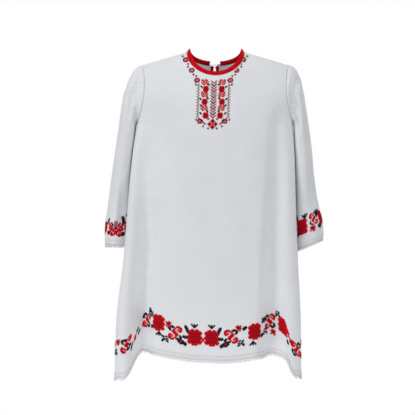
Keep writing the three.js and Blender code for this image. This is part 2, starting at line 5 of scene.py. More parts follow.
import bpy
import numpy as np
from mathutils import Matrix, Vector

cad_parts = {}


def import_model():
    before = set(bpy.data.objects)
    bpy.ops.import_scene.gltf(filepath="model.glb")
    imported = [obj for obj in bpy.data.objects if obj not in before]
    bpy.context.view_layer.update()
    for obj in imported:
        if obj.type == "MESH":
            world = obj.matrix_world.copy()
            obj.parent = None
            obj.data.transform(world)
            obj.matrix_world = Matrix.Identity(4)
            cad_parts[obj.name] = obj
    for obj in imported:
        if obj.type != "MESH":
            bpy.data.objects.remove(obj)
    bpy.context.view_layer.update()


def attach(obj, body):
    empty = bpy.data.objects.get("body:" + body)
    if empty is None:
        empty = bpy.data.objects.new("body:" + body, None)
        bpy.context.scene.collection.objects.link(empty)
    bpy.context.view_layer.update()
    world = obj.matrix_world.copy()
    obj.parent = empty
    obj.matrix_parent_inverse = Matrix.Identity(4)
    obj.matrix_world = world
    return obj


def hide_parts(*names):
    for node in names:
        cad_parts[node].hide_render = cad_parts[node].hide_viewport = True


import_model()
MM = 0.001
TINY = 1e-6

# ---- the form of the solids ----

SEAM = 0.3
NECK_HALF = 62
NECK_DROP = {"front": 51, "back": 29}
SHOULDER_HALF = 156.5
TIP_Z, BELOW_TIP = -28, 0.01
SHOULDER_ROLL = {"front": 150, "back": 167}
UNDERARM_Z = -157
ARMHOLE_DEPTH = 44
ARMHOLE_BOW = 10
ARMHOLE_NARROWING = 0.24
ARMHOLE_GAP = 0.5
LACE_DROP = 9
LACE_RINGS = 0.3
BINDING_END = {"left": -13, "right": 11}
KEYHOLE = {"x": -2, "top": 2, "half": 7.5, "z": -86}
BUTTON = {"x": 8, "below": 1, "radius": 5, "thick": 2.2, "shank": 1.5, "foot": -0.25}
LOOP = {"left": -11, "half": 2.9, "cord": 0.8, "height": 1.45}
ROUNDNESS = 0.83
FOLD_BOTTOM_Z, FOLD_FADE = -664, 10  # the power by which folds fade at a panel's sides
SIDE = {"left": -1, "right": 1}
FACING = {"front": -1, "back": 1}

# The body form by height
BODY = {
    "z": (30, -28, -90, -157, -243, -330, -424, -500, -600, -710),
    "left": (-156.5, -156.5, -163, -170, -178, -182, -186, -194, -202, -206),
    "right": (156.5, 156.5, 163, 167, 169, 170, 171, 174, 178, 180),
    "centre": (0, 0, -1, -2, -5, -9, -12, -13, -14, -14),
    "front": (48, 54, 64, 72, 78, 84, 91, 97, 105, 112),
    "back": (44, 52, 62, 68, 72, 76, 82, 88, 95, 102),
}
# Large folds: place at the top and at the hem, width, start height, lift, share sideways
FOLDS = {
    "front": (
        (-0.62, -0.49, 0.15, -150, -29, 0.3),
        (-0.8, -0.71, 0.25, -120, 36, 0.7),
        (0.56, 0.43, 0.15, -110, -25, 0.3),
        (0.78, 0.68, 0.25, -120, 27, 0.9),
    ),
    "back": (
        (-0.3, -0.34, 0.17, -170, -22, 0.4),
        (-0.6, -0.62, 0.2, -250, 18, 0.5),
        (0.02, 0.05, 0.24, -150, 12, 0.5),
        (0.36, 0.42, 0.18, -200, -24, 0.4),
        (0.66, 0.68, 0.2, -250, 16, 0.5),
    ),
}
# The lowest line of the hem, lace and all, across each panel
HEM = {
    "front": {
        "at": (-1, -0.82, -0.68, -0.61, -0.55, -0.49, -0.4, -0.2, 0, 0.14, 0.35, 0.55,
               0.61, 0.68, 0.84, 1),
        "z": (-690, -702, -702, -694, -654, -645, -649, -659, -666, -666, -658, -658,
              -690, -699, -701, -690),
    },
    "back": {
        "at": (-1, -0.86, -0.66, -0.34, 0.05, 0.42, 0.66, 0.86, 1),
        "z": (-690, -688, -655, -647, -656, -648, -654, -688, -690),
    },
}
# Sleeves, by ring from the armhole to the cuff
SLEEVES = {
    "left": {
        "crown": (156.5, 169, 180, 191, 201, 209, 217, 225, 232, 237, 237.5),
        "crown_z": (-28, -34, -49, -74, -112, -166, -222, -280, -334, -378, -425),
        "under": (170, 172.5, 174.5, 176, 179.5, 184, 188, 189.5, 190.5, 191, 191),
        "under_z": (-157, -160, -169, -186, -212, -250, -290, -328, -364, -396, -420),
        "y": (0, 0, 1, 3, 6, 10, 14, 18, 20, 21, 22),
    },
    "right": {
        "crown": (156.5, 168, 179, 186, 193, 201.5, 208, 213.5, 222, 231, 231),
        "crown_z": (-28, -33, -50, -74, -112, -166, -222, -280, -330, -372, -408),
        "under": (167, 169, 170, 170.8, 171.8, 174, 176, 176.5, 177, 177, 177),
        "under_z": (-157, -160, -169, -186, -212, -250, -290, -328, -366, -400, -430),
        "y": (0, 0, 1, 3, 6, 9, 12, 14, 14, 14, 14),
    },
}
SLEEVE_DEPTHS = (44, 45, 46, 47, 48, 48, 48, 47, 46, 45, 45)
LAST_RING = 10
RINGS = tuple(range(LAST_RING + 1))
NARROW_RINGS, BOW_RINGS, FOLD_RINGS = 3, 2, 1.2  # how far from the armhole each fades out or in
# Ring, reach, angle (0 crown, 90 front, 180 underarm, 270 behind), spread, lift
SLEEVE_FOLDS = {
    "left": ((2.6, 2.2, 82, 40, -9), (7.6, 2.6, 120, 42, -7), (2.8, 2.2, 285, 40, -8)),
    "right": ((2.4, 2.1, 100, 42, -10), (7.2, 2.4, 62, 40, -5), (2.8, 2.2, 275, 40, -8)),
}


def lerp(a, b, t):
    return a + (b - a) * t


def ease(t):
    t = np.clip(t, 0, 1)
    return t * t * (3 - 2 * t)


def rounded(value, exponent=ROUNDNESS):
    return np.sign(value) * np.abs(value) ** exponent


def hump(t):
    return np.where(np.abs(t) < 1, np.cos(np.clip(t, -1, 1) * pi / 2) ** 2, 0)


def grids(a, b):
    """Two values as float arrays of one shape."""
    return np.broadcast_arrays(np.asarray(a, float), np.asarray(b, float))


def unit(vectors):
    return vectors / np.maximum(np.linalg.norm(vectors, axis=-1, keepdims=True), 1e-9)


def full_turn(count):
    return np.linspace(0, 2 * pi, count, endpoint=False)


def column(table, name, value):
    """A smooth curve through a column of a table, read at values of its first one."""
    keys, values = (np.array(table[k], float) for k in (next(iter(table)), name))
    value = np.asarray(value, float)
    if keys[-1] < keys[0]:
        keys, value = -keys, -value
    index = np.arange(len(keys))
    before, after = np.maximum(index - 1, 0), np.minimum(index + 1, len(keys) - 1)
    slope = (values[after] - values[before]) / (keys[after] - keys[before])
    last = np.clip(np.searchsorted(keys, value, side="right") - 1, 0, len(keys) - 2)
    span = keys[last + 1] - keys[last]
    t = np.clip((value - keys[last]) / span, 0, 1)
    bend = values[last] + slope[last] * span * t
    aim = values[last + 1] - slope[last + 1] * span * (1 - t)
    return lerp(bend, aim, ease(t))


def armhole_height(z):
    middle = (TIP_Z + UNDERARM_Z) / 2
    return np.clip((z - middle) / (TIP_Z - middle), -1, 1)


def armhole_depth(height):
    narrowing = 1 - ARMHOLE_NARROWING * np.maximum(0, height)
    return ARMHOLE_DEPTH * np.sqrt(1 - height * height) * narrowing


def side_x(side, z):
    seam = column(BODY, side, UNDERARM_Z)
    height = armhole_height(z)
    above = lerp(seam, SIDE[side] * SHOULDER_HALF, (height + 1) / 2)
    above = above - SIDE[side] * ARMHOLE_BOW * (1 - height * height)
    return np.where(z < UNDERARM_Z, column(BODY, side, z), above)


def shoulder_line(x):
    return TIP_Z * (np.abs(x) - NECK_HALF) / (SHOULDER_HALF - NECK_HALF)


def rolled(panel, x, z):
    t = np.clip((shoulder_line(x) - z) / SHOULDER_ROLL[panel], 0, 1)
    return np.sqrt(1 - (1 - t) ** 3)


def fold_shift(panel, at, z, angle, half, depth):
    x, y, place = np.sin(angle) / half, np.cos(angle) / depth, angle / (pi / 2)
    sideways, out = np.zeros_like(at), np.zeros_like(at)
    for top, hem, width, starts, lift, share in FOLDS[panel]:
        down = np.clip((starts - z) / (starts - FOLD_BOTTOM_Z), 0, 1)
        size = lift * np.sin(down * pi / 2) * hump((place - lerp(top, hem, down)) / width)
        length = np.hypot(share * x, y)
        sideways += size * share * x / length
        out += size * y / length
    fade = 1 - at ** FOLD_FADE
    return sideways * fade, out * fade


def oval_at(panel, at, z):
    level = np.minimum(z, TIP_Z - BELOW_TIP)
    centre = column(BODY, "centre", level)
    depth = column(BODY, panel, level)
    edge = np.where(at < 0, side_x("left", level), side_x("right", level))
    open_depth = armhole_depth(armhole_height(level))
    forward = open_depth / (depth * rolled(panel, edge, level))
    angle = np.arccos(forward ** (1 / ROUNDNESS))
    return centre, depth, angle, np.abs(edge - centre) / np.sin(angle) ** ROUNDNESS


def body_point(panel, at, z):
    """Points of a panel's outer face: at is -1 on its left edge and 1 on its right."""
    at, z = grids(at, z)
    centre, depth, edge, half = oval_at(panel, at, z)
    angle = at * edge
    x = centre + half * rounded(np.sin(angle))
    y = depth * rounded(np.cos(angle)) * rolled(panel, x, z)
    sideways, out = fold_shift(panel, at, z, angle, half, depth)
    return np.stack([x + sideways, FACING[panel] * (SEAM / 2 + y + out), z], -1)


def shoulder_oval(panel):
    return oval_at(panel, np.array(-1.0), np.array(float(TIP_Z)))[2:]


def place_across(panel, x):
    """The place across a panel at x, on the level of the shoulders."""
    angle, half = shoulder_oval(panel)
    return np.arcsin(rounded(x / half, 1 / ROUNDNESS)) / angle


def neck_z(panel, x):
    t = np.minimum(1, np.abs(x) / NECK_HALF)
    return -NECK_DROP[panel] * np.sqrt(1 - t * t)


BACK_NECK_Z = float(neck_z("back", 0))


def face_place(panel, x, z):
    """The place across a panel at x, where no fold moves it."""
    x, z = grids(x, z)
    centre, _, angle, half = oval_at(panel, np.where(x < 0, -1.0, 1.0), z)
    across = np.clip((x - centre) / half, -1, 1)
    return np.arcsin(rounded(across, 1 / ROUNDNESS)) / angle


def top_z(panel, x):
    return np.where(np.abs(x) < NECK_HALF - TINY, neck_z(panel, x), shoulder_line(x))


def panel_top(panel, at):
    angle, half = shoulder_oval(panel)
    return top_z(panel, half * rounded(np.sin(at * angle)))


def cloth_hem(panel, at):
    return column(HEM[panel], "z", at) + LACE_DROP


def sleeve_point(side, ring, angle):
    """Points of a sleeve's outer face: ring counts from the armhole, angle from the crown."""
    ring, angle = grids(ring, angle)
    table = {"ring": RINGS, "depth": SLEEVE_DEPTHS, **SLEEVES[side]}
    crown, crown_z, under, under_z, depth, y = (
        column(table, name, ring)
        for name in ("crown", "crown_z", "under", "under_z", "depth", "y")
    )
    share = (1 + np.cos(angle)) / 2
    x, z = lerp(under, crown, share), lerp(under_z, crown_z, share)
    narrowing = ARMHOLE_NARROWING * np.maximum(0, np.cos(angle)) * (1 - ease(ring / NARROW_RINGS))
    y = y - depth * np.sin(angle) * (1 - narrowing)
    x = x - ARMHOLE_BOW * np.sin(angle) ** 2 * (1 - ease(ring / BOW_RINGS))
    turn = np.degrees(angle) % 360
    for at_ring, reach, at_angle, spread, lift in SLEEVE_FOLDS[side]:
        near = hump((turn - at_angle) / spread) * hump((ring - at_ring) / reach)
        y = y - lift * near * ease(ring / FOLD_RINGS) * np.sin(angle)
    return np.stack([(x + ARMHOLE_GAP) * SIDE[side], y, z], -1)


# ---- creases ----

# Soft troughs (-) and ridges (+): x and z of start, bend and end, width, lift
CREASES = {
    "front": (
        (-7, -150, -9, -330, -8, -560, 3.5, -0.7), (12, -240, 7, -380, 14, -520, 11, 0.8),
        (-148, -95, -118, -150, -112, -250, 11, -1.6), (-146, -150, -128, -210, -126, -330, 9, 1.2),
        (143, -92, 122, -150, 118, -260, 10, -1.5), (148, -150, 134, -220, 130, -330, 8, 1.1),
        (-90, -330, -84, -430, -96, -560, 14, 1), (62, -300, 70, -420, 62, -580, 15, -1.1),
        (-40, -420, -52, -520, -48, -640, 13, -0.9), (-140, -170, -143, -380, -146, -640, 17, -3),
        (124, -190, 128, -420, 124, -620, 13, -1.5), (-70, -58, -96, -70, -120, -64, 9, -0.7),
        (70, -56, 98, -74, 124, -62, 9, -0.8),
    ),
    "back": (
        (-140, -90, -112, -150, -104, -260, 11, -1.6), (138, -94, 116, -160, 112, -240, 10, -1.5),
        (-60, -80, -54, -200, -66, -380, 13, -1), (40, -120, 52, -260, 44, -420, 14, 1.1),
        (2, -250, -6, -400, 4, -600, 12, -0.9), (-120, -320, -128, -440, -124, -600, 9, 1.2),
        (118, -300, 124, -430, 120, -600, 9, 1.1), (-96, -52, -60, -66, -20, -108, 10, -0.8),
        (96, -52, 62, -70, 24, -112, 10, -0.8),
    ),
    "left_front": (
        (-168, -42, -169, -100, -171, -205, 9, -7), (-186, -60, -190, -120, -196, -180, 8, 2.4),
        (-172, -165, -188, -190, -206, -200, 6, -1.1), (-188, -240, -200, -262, -216, -268, 7, -1.2),
        (-196, -290, -206, -330, -204, -400, 7, -1.5), (-226, -330, -222, -370, -224, -404, 6, 1.2),
    ),
    "right_front": (
        (170, -36, 147, -95, 174, -168, 3, -1.5), (181, -28, 160, -100, 184, -182, 11, -8),
        (186, -66, 182, -120, 190, -180, 8, 2), (176, -190, 190, -206, 202, -204, 6, -1.1),
        (180, -250, 194, -270, 208, -264, 7, -1.2), (188, -300, 194, -350, 190, -410, 7, -1.4),
        (218, -330, 214, -370, 218, -400, 6, 1),
    ),
    "left_back": (
        (-168, -48, -178, -95, -176, -150, 5, -2), (-178, -180, -192, -204, -208, -210, 6, -1.1),
        (-192, -270, -206, -292, -222, -290, 7, -1.2), (-206, -320, -212, -360, -208, -404, 7, -1.3),
    ),
    "right_back": (
        (164, -46, 160, -96, 172, -150, 5, -2), (178, -176, 192, -198, 204, -196, 6, -1.1),
        (182, -262, 196, -284, 212, -280, 7, -1.2), (196, -330, 202, -366, 198, -404, 7, -1.2),
    ),
}
CREASE_STEPS = 15
CREASE_WIDTH, CREASE_WIDENS = 0.75, 0.7  # shares of the width: at the start, and more by the end
CREASE_COMES, CREASE_GOES = 0.3, 0.4  # shares of the length over which it fades in and out
# How far a sleeve's inner side swells towards the skirt, by ring
INNER_SWELL = {
    "left": (0, 1.6, 3.3, 3.8, 4.8, 5.9, 7.6, 7.2, 6.4, 5.5, 4.4),
    "right": (0, 1.4, 2.2, 3.2, 3.7, 4.6, 5.8, 5.6, 5.6, 5.2, 4.9),
}
SWELL_ANGLE, SWELL_SPREAD = 186, 80
# How far its front inner corner fills out forwards
CORNER_FILL = {"left": 4, "right": 9}
FILL_ANGLE, FILL_SPREAD, FILL_RINGS = 148, 58, 3
CREASE_RINGS, CREASE_FACING = 0.8, 1.6  # a sleeve's creases fade near the armhole and where it turns
# Shallow waves over all the cloth: lengths along x and z, and height
WAVES = ((83, 260, 0.35), (47, -390, 0.22), (-131, 170, 0.3), (29, 88, 0.1))
WAVE_START_X, WAVE_START_Z = 1.3, 0.4
HEM_FOLD = 14  # width of the turned hem of the skirt and the sleeves
HEM_RELIEF, HEM_SLOPE = 0.6, 2.5
TOP_FADE, SIDE_FADE = 25, 0.06  # creases end this far below a panel's top, and short of its sides
STEP_AT, STEP_Z, STEP_ANGLE, STEP_RING = 0.004, 0.5, 0.01, 0.01  # steps that slopes are read over


def crease_lift(face, x, z):
    """How far the creases of a face move the cloth along its normal."""
    lift = np.zeros_like(x)
    steps = np.linspace(0, 1, CREASE_STEPS)
    for *places, width, height in CREASES[face]:
        start, bend, end = np.array(places, float).reshape(3, 2)
        near = np.full(x.shape, np.inf)
        at = np.zeros_like(x)
        for t in steps:
            line = start * (1 - t) ** 2 + 2 * bend * t * (1 - t) + end * t * t
            distance = np.hypot(x - line[0], z - line[1])
            at = np.where(distance < near, t, at)
            near = np.minimum(near, distance)
        spread = width * (CREASE_WIDTH + CREASE_WIDENS * at)
        fade = ease(at / CREASE_COMES) * ease((1 - at) / CREASE_GOES)
        lift += height * np.exp(-((near / spread) ** 2)) * fade
    return lift


def wave_lift(x, z):
    return sum(
        h * np.sin(x / a * 2 * pi + WAVE_START_X) * np.sin(z / b * 2 * pi + WAVE_START_Z)
        for a, b, h in WAVES)


def cross_normals(along, up):
    return unit(np.cross(along, up))


def panel_surface(panel, at, z):
    """Points of a panel with its creases."""
    at, z = grids(at, z)
    points = body_point(panel, at, z)
    side = np.where(at > 0, -STEP_AT, STEP_AT)
    along = (body_point(panel, at + side, z) - points) * np.sign(side)[..., None] * -FACING[panel]
    normals = cross_normals(along, points - body_point(panel, at, z - STEP_Z))
    x = points[..., 0]
    lift = crease_lift(panel, x, z) + wave_lift(x, z)
    lift *= ease((panel_top(panel, at) - z) / TOP_FADE) * ease((1 - np.abs(at)) / SIDE_FADE)
    lift += HEM_RELIEF * ease((cloth_hem(panel, at) + HEM_FOLD - z) / HEM_SLOPE + 0.5)
    return points + normals * lift[..., None]


def swollen_sleeve(side, ring, angle):
    """Points of a sleeve whose inner side and front corner are filled out."""
    table = {"ring": RINGS, "swell": INNER_SWELL[side]}
    turn = np.degrees(angle) % 360
    swell = column(table, "swell", ring) * hump((turn - SWELL_ANGLE) / SWELL_SPREAD)
    fill = CORNER_FILL[side] * hump((turn - FILL_ANGLE) / FILL_SPREAD) * ease((ring - 1) / FILL_RINGS)
    return sleeve_point(side, ring, angle) - np.stack([SIDE[side] * swell, fill, 0 * swell], -1)


def sleeve_surface(side, ring, angle):
    """Points of a sleeve with its creases."""
    ring, angle = grids(ring, angle)
    points = swollen_sleeve(side, ring, angle)
    along = (swollen_sleeve(side, ring, angle + STEP_ANGLE) - points) * -SIDE[side]
    normals = cross_normals(along, points - swollen_sleeve(side, ring + STEP_RING, angle))
    x, z = points[..., 0], points[..., 2]
    facing = ease(np.abs(normals[..., 1]) * CREASE_FACING)
    creases = np.where(normals[..., 1] < 0, crease_lift(side + "_front", x, z),
                       crease_lift(side + "_back", x, z))
    lift = (creases * facing + wave_lift(x + points[..., 1], z)) * ease(ring / CREASE_RINGS)
    return points + normals * lift[..., None]


# ---- meshes ----

def grid_normals(points, wraps=False):
    """Normals of a grid of points whose columns run right and rows run up."""
    along = np.roll(points, -1, 1) - np.roll(points, 1, 1) if wraps else np.gradient(points, axis=1)
    return cross_normals(along, np.gradient(points, axis=0))


def placed(name, data):
    piece = bpy.data.objects.new(name, data)
    bpy.context.scene.collection.objects.link(piece)
    return piece


def new_mesh(name, vertices, faces, materials, solid=None, slot=None, indices=None):
    """A mesh from points in millimetres and faces with as many sides each; may replace a solid."""
    mesh = bpy.data.meshes.new(name)
    vertices = np.asarray(vertices, np.float32).reshape(-1, 3) * MM
    faces = np.asarray(faces, np.int32)
    mesh.vertices.add(len(vertices))
    mesh.vertices.foreach_set("co", vertices.ravel())
    mesh.loops.add(faces.size)
    mesh.loops.foreach_set("vertex_index", faces.ravel())
    mesh.polygons.add(len(faces))
    mesh.polygons.foreach_set("loop_start", np.arange(len(faces), dtype=np.int32) * faces.shape[1])
    mesh.polygons.foreach_set("use_smooth", np.ones(len(faces), bool))
    for material in materials:
        mesh.materials.append(material)
    if indices is not None:
        mesh.polygons.foreach_set("material_index", np.asarray(indices, np.int32))
    mesh.update(calc_edges=True)
    piece = placed(name, mesh)
    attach(piece, "root")
    if solid:
        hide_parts(solid)
    return piece


def grid_quads(rows, columns, wraps):
    across = columns if wraps else columns - 1
    i, j = np.meshgrid(np.arange(rows - 1), np.arange(across), indexing="ij")
    k = (j + 1) % columns
    quads = [i * columns + j, i * columns + k, (i + 1) * columns + k, (i + 1) * columns + j]
    return np.stack(quads, -1).reshape(-1, 4)


def shell_quads(rows, columns, wraps):
    """Outer face, inner face and rims of a wall whose inner points follow its outer ones."""
    total, outer = rows * columns, grid_quads(rows, columns, wraps)
    index = np.arange(total).reshape(rows, columns)
    edges = [index[0][::-1], index[-1]]
    if not wraps:
        edges += [index[:, 0], index[::-1, -1]]
    faces = [outer, outer[:, ::-1] + total]
    for edge in edges:
        start = edge if wraps else edge[:-1]
        ahead = np.roll(edge, -1) if wraps else edge[1:]
        faces.append(np.stack([ahead, start, start + total, ahead + total], -1))
    return np.concatenate(faces)


def cloth(name, points, wraps=False, hole=None):
    """The thin wall that replaces a solid; hole marks the points that are cut out of it."""
    rows, columns, _ = points.shape
    inner = points - CLOTH_THICK * grid_normals(points, wraps)
    vertices = np.concatenate([points.reshape(-1, 3), inner.reshape(-1, 3)])
    faces = shell_quads(rows, columns, wraps)
    if hole is not None:
        faces = faces[~np.tile(hole.ravel(), 2)[faces].any(axis=1)]
        used, faces = np.unique(faces, return_inverse=True)
        vertices, faces = vertices[used], faces.reshape(-1, 4)
    return new_mesh(name + "_cloth", vertices, faces, [GABARDINE], name, "cloth")


def threads(points, normals, radius, height=1.0):
    """Closed threads of a square section along rows of points, as (vertices, quads)."""
    count, steps, _ = points.shape
    tangents = np.gradient(points, axis=1)
    sides = cross_normals(tangents, normals)
    ups = cross_normals(sides, tangents)
    corners = [points + radius * (a * sides + b * height * ups)
               for a, b in ((1, 0), (0, 1), (-1, 0), (0, -1))]
    last = (steps - 1) * 4
    ends = [(3, 2, 1, 0), range(last, last + 4)]
    quads = np.concatenate([grid_quads(steps, 4, True), ends])
    starts = np.arange(count)[:, None, None] * steps * 4
    return np.stack(corners, 2).reshape(-1, 3), (quads[None] + starts).reshape(-1, 4)


def joined(parts):
    """Several (vertices, faces) as one."""
    shift, vertices, faces = 0, [], []
    for part_vertices, part_faces in parts:
        vertices.append(part_vertices)
        faces.append(part_faces + shift)
        shift += len(part_vertices)
    return np.concatenate(vertices), np.concatenate(faces)


# ---- materials ----

SHEEN_ROUGHNESS = 0.4
THROUGH_DEPTH = 0.002
RAMP = (0.35, 0.65)
CLOTH_MOTTLE, YARN_MOTTLE = 14.0, 320.0
RIB_DEPTH = 0.0002
YARN_RIBS = (2.2, 0.25)  # for each millimetre, and their strength
RIBS = (((1, 0.35, 1), 1.0), ((1, 0.35, -1), 0.45))  # direction and share of the bump


def material_tree(name, colour, roughness, specular=0.25, sheen=0.0, through=0.0):
    material = bpy.data.materials.new(name)
    material.use_nodes = True
    tree = material.node_tree
    shader = tree.nodes["Principled BSDF"]
    settings = {
        "Base Color": (*colour, 1), "Roughness": roughness, "Sheen Weight": sheen,
        "Sheen Roughness": SHEEN_ROUGHNESS, "Specular IOR Level": specular,
        "Subsurface Weight": through, "Subsurface Radius": (1, 1, 1),
        "Subsurface Scale": THROUGH_DEPTH,
    }
    for key, value in settings.items():
        shader.inputs[key].default_value = value
    return material, tree, shader


def node(tree, kind, **settings):
    made = tree.nodes.new("ShaderNode" + kind)
    for name, value in settings.items():
        if name in made.inputs:
            made.inputs[name].default_value = value
        else:
            setattr(made, name, value)
    return made


def mottle(tree, shader, colour, other, scale):
    """Colour that drifts a little between two tones."""
    link = tree.links.new
    place = node(tree, "TexCoord")
    noise = node(tree, "TexNoise", Scale=scale, Detail=3.0)
    ramp = node(tree, "ValToRGB")
    for element, position, tone in zip(ramp.color_ramp.elements, RAMP, (colour, other)):
        element.position = position
        element.color = (*tone, 1)
    link(place.outputs["Object"], noise.inputs["Vector"])
    link(noise.outputs["Fac"], ramp.inputs["Fac"])
    link(ramp.outputs["Color"], shader.inputs["Base Color"])
    return place


def weave_bump(tree, shader, place, ribs, strength):
    """Diagonal ribs crossed by weaker ones, as bump."""
    link, total = tree.links.new, node(tree, "Math", operation="ADD")
    for index, (direction, share) in enumerate(RIBS):
        turned = node(tree, "VectorMath", operation="DOT_PRODUCT")
        turned.inputs[1].default_value = tuple(v * ribs * 2 * pi / MM for v in direction)
        wave = node(tree, "Math", operation="SINE")
        part = node(tree, "Math", operation="MULTIPLY")
        part.inputs[1].default_value = share
        link(place.outputs["Object"], turned.inputs[0])
        link(turned.outputs["Value"], wave.inputs[0])
        link(wave.outputs[0], part.inputs[0])
        link(part.outputs[0], total.inputs[index])
    bump = node(tree, "Bump", Strength=strength, Distance=RIB_DEPTH)
    link(total.outputs[0], bump.inputs["Height"])
    link(bump.outputs["Normal"], shader.inputs["Normal"])


def woven(name, colour, other, roughness, specular=0.1, ribs=YARN_RIBS, tones=YARN_MOTTLE, **more):
    material, tree, shader = material_tree(name, colour, roughness, specular, **more)
    weave_bump(tree, shader, mottle(tree, shader, colour, other, tones), *ribs)
    return material


GABARDINE = woven("white_gabardine", (0.84, 0.85, 0.87), (0.87, 0.88, 0.895), 0.8, 0.25,
                  (1.1, 0.12), CLOTH_MOTTLE, sheen=0.1, through=0.5)
SATIN = woven("red_binding", (0.54, 0.0, 0.004), (0.62, 0.001, 0.008), 0.6, 0.08, (1.6, 0.15),
              CLOTH_MOTTLE)
COTTON = woven("lace_cotton", (0.78, 0.78, 0.78), (0.86, 0.86, 0.87), 0.85)
SEWING = woven("sewing_thread", (0.48, 0.48, 0.50), (0.58, 0.58, 0.60), 0.7)
RED = woven("thread_red", (0.72, 0.002, 0.010), (0.84, 0.004, 0.016), 0.6)
WINE = woven("thread_wine", (0.22, 0.003, 0.012), (0.30, 0.005, 0.018), 0.6)
BLACK = woven("thread_black", (0.012, 0.010, 0.022), (0.03, 0.024, 0.045), 0.5)
SHELL = woven("button_shell", (0.74, 0.73, 0.70), (0.82, 0.80, 0.76), 0.28, 0.25, (0.25, 0.04),
              CLOTH_MOTTLE)
THREADS, THREAD_LETTERS = [RED, WINE, BLACK], "rdk"  # the letters are those of the charts

# ---- cloth ----

CLOTH_THICK = 0.6
PANEL_COLUMNS, PANEL_ROWS = 144, (112, 80)  # rows below and above the underarm
SLEEVE_AROUND, SLEEVE_ROWS = 112, 170
SEAM_ALLOWANCE = (0.7, 2.5, 6.0)  # how deep the turned edge lies at each of its rows
NECK_ALLOWANCE = 0.12  # the share of it inside the neck binding
CUT_OFFSET = 2.5  # from the keyhole's open edge to the cut edge inside its binding
CUT_REACH, CUT_ABOVE = 2.0, 0.5
CUT_STEP = 0.1  # the step its slope is measured over


def turned_edge(edge, inward, share=1):
    """Rows of points that turn inwards from an edge of a grid."""
    return [edge + inward * depth * share for depth in SEAM_ALLOWANCE]


def with_turned_edges(points):
    """A grid with allowances turned in along its sides and its top."""
    normals = grid_normals(points)
    left = turned_edge(points[:, :1], -normals[:, :1])
    right = turned_edge(points[:, -1:], -normals[:, -1:])
    wide = np.concatenate([*left[::-1], points, *right], axis=1)
    margin = len(SEAM_ALLOWANCE)
    top = np.pad(normals[-1:], ((0, 0), (margin, margin), (0, 0)), mode="edge")
    bound = np.abs(wide[-1:, :, :1]) < NECK_HALF
    return np.concatenate([wide, *turned_edge(wide[-1:], -top, np.where(bound, NECK_ALLOWANCE, 1))])


def keyhole_wide(offset, down):
    """Half the keyhole's width at a distance from its open edge, from its top (0) to its round (1)."""
    top, half = KEYHOLE["top"] + offset, KEYHOLE["half"] + offset
    return lerp(top, half, ease(down) * 0.5 + down * 0.5)


def cut_distance(x, z):
    """How far outside the keyhole's cut edge a point lies."""
    down = np.clip((z - BACK_NECK_Z) / (KEYHOLE["z"] - BACK_NECK_Z), 0, 1)
    beside = np.abs(x - KEYHOLE["x"]) - keyhole_wide(CUT_OFFSET, down)
    round_middle = np.hypot(x - KEYHOLE["x"], z - KEYHOLE["z"])
    below = round_middle - KEYHOLE["half"] - CUT_OFFSET
    return np.where(z > KEYHOLE["z"], beside, below)


def cut_keyhole(at, z):
    """Moves points near the keyhole's cut edge onto it, and marks those inside."""
    x = body_point("back", at, z)[..., 0]
    distance = cut_distance(x, z)
    slope_x = (cut_distance(x + CUT_STEP, z) - distance) / CUT_STEP
    slope_z = (cut_distance(x, z + CUT_STEP) - distance) / CUT_STEP
    near = np.abs(distance) < CUT_REACH
    moved_x, moved_z = x - distance * slope_x, z - distance * slope_z
    near &= moved_z < BACK_NECK_Z + CUT_ABOVE
    moved_x, moved_z = np.where(near, moved_x, 0), np.where(near, moved_z, z)
    moved_at = np.where(near, face_place("back", moved_x, moved_z), at)
    return moved_at, moved_z, distance <= -CUT_REACH


def panel_grid(panel):
    """Places and heights over a panel, closer together near its top."""
    at = np.linspace(-1, 1, PANEL_COLUMNS)[None, :] * -FACING[panel]
    low, high = (np.linspace(0, 1, rows)[:, None] for rows in PANEL_ROWS)
    below = lerp(cloth_hem(panel, at), UNDERARM_Z, low)[:-1]
    above = lerp(UNDERARM_Z, panel_top(panel, at), (1 - np.cos(pi * high)) / 2)
    z = np.concatenate([below, above])
    return at + 0 * z, z


def panel_cloth(panel):
    (at, z), hole = panel_grid(panel), None
    if panel == "back":
        at, z, hole = cut_keyhole(at, z)
        margin = len(SEAM_ALLOWANCE)
        hole = np.pad(hole, ((0, margin), (margin, margin)), mode="edge")
    points = with_turned_edges(panel_surface(panel, at, z))
    return cloth(panel, points, hole=hole)


def sleeve_cloth(side):
    angle = pi / 2 - SIDE[side] * full_turn(SLEEVE_AROUND)[None, :]
    ring = np.linspace(LAST_RING - LACE_RINGS, 0, SLEEVE_ROWS)[:, None]
    points = sleeve_surface(side, ring, angle)
    inward = -grid_normals(points, wraps=True)[-1:]
    points = np.concatenate([points, *turned_edge(points[-1:], inward)])
    return cloth("sleeve_" + side, points, wraps=True)


# ---- grounds: places on the cloth, measured along it ----

GROUND_STEPS, GROUND_STEP = 1200, 0.3  # places that are measured, and the step slopes are read over
BAND_LEVEL = 45  # the skirt's embroidery is measured along this height above the hem
BAND_MIDDLE = {"front": -0.024, "back": 0.0}
CUFF_LEVEL = 32
CUFF_SLOPE = 1.2  # rings that the length of a ring is measured over
CHEST_MIDDLE, CHEST_LEVEL = -6.7, -155.9  # middle of the star
CHEST_TILT = 0.036  # the chest's pattern leans a little
CHEST_REACH, CHEST_LINE = 110, -125  # it is measured along this height


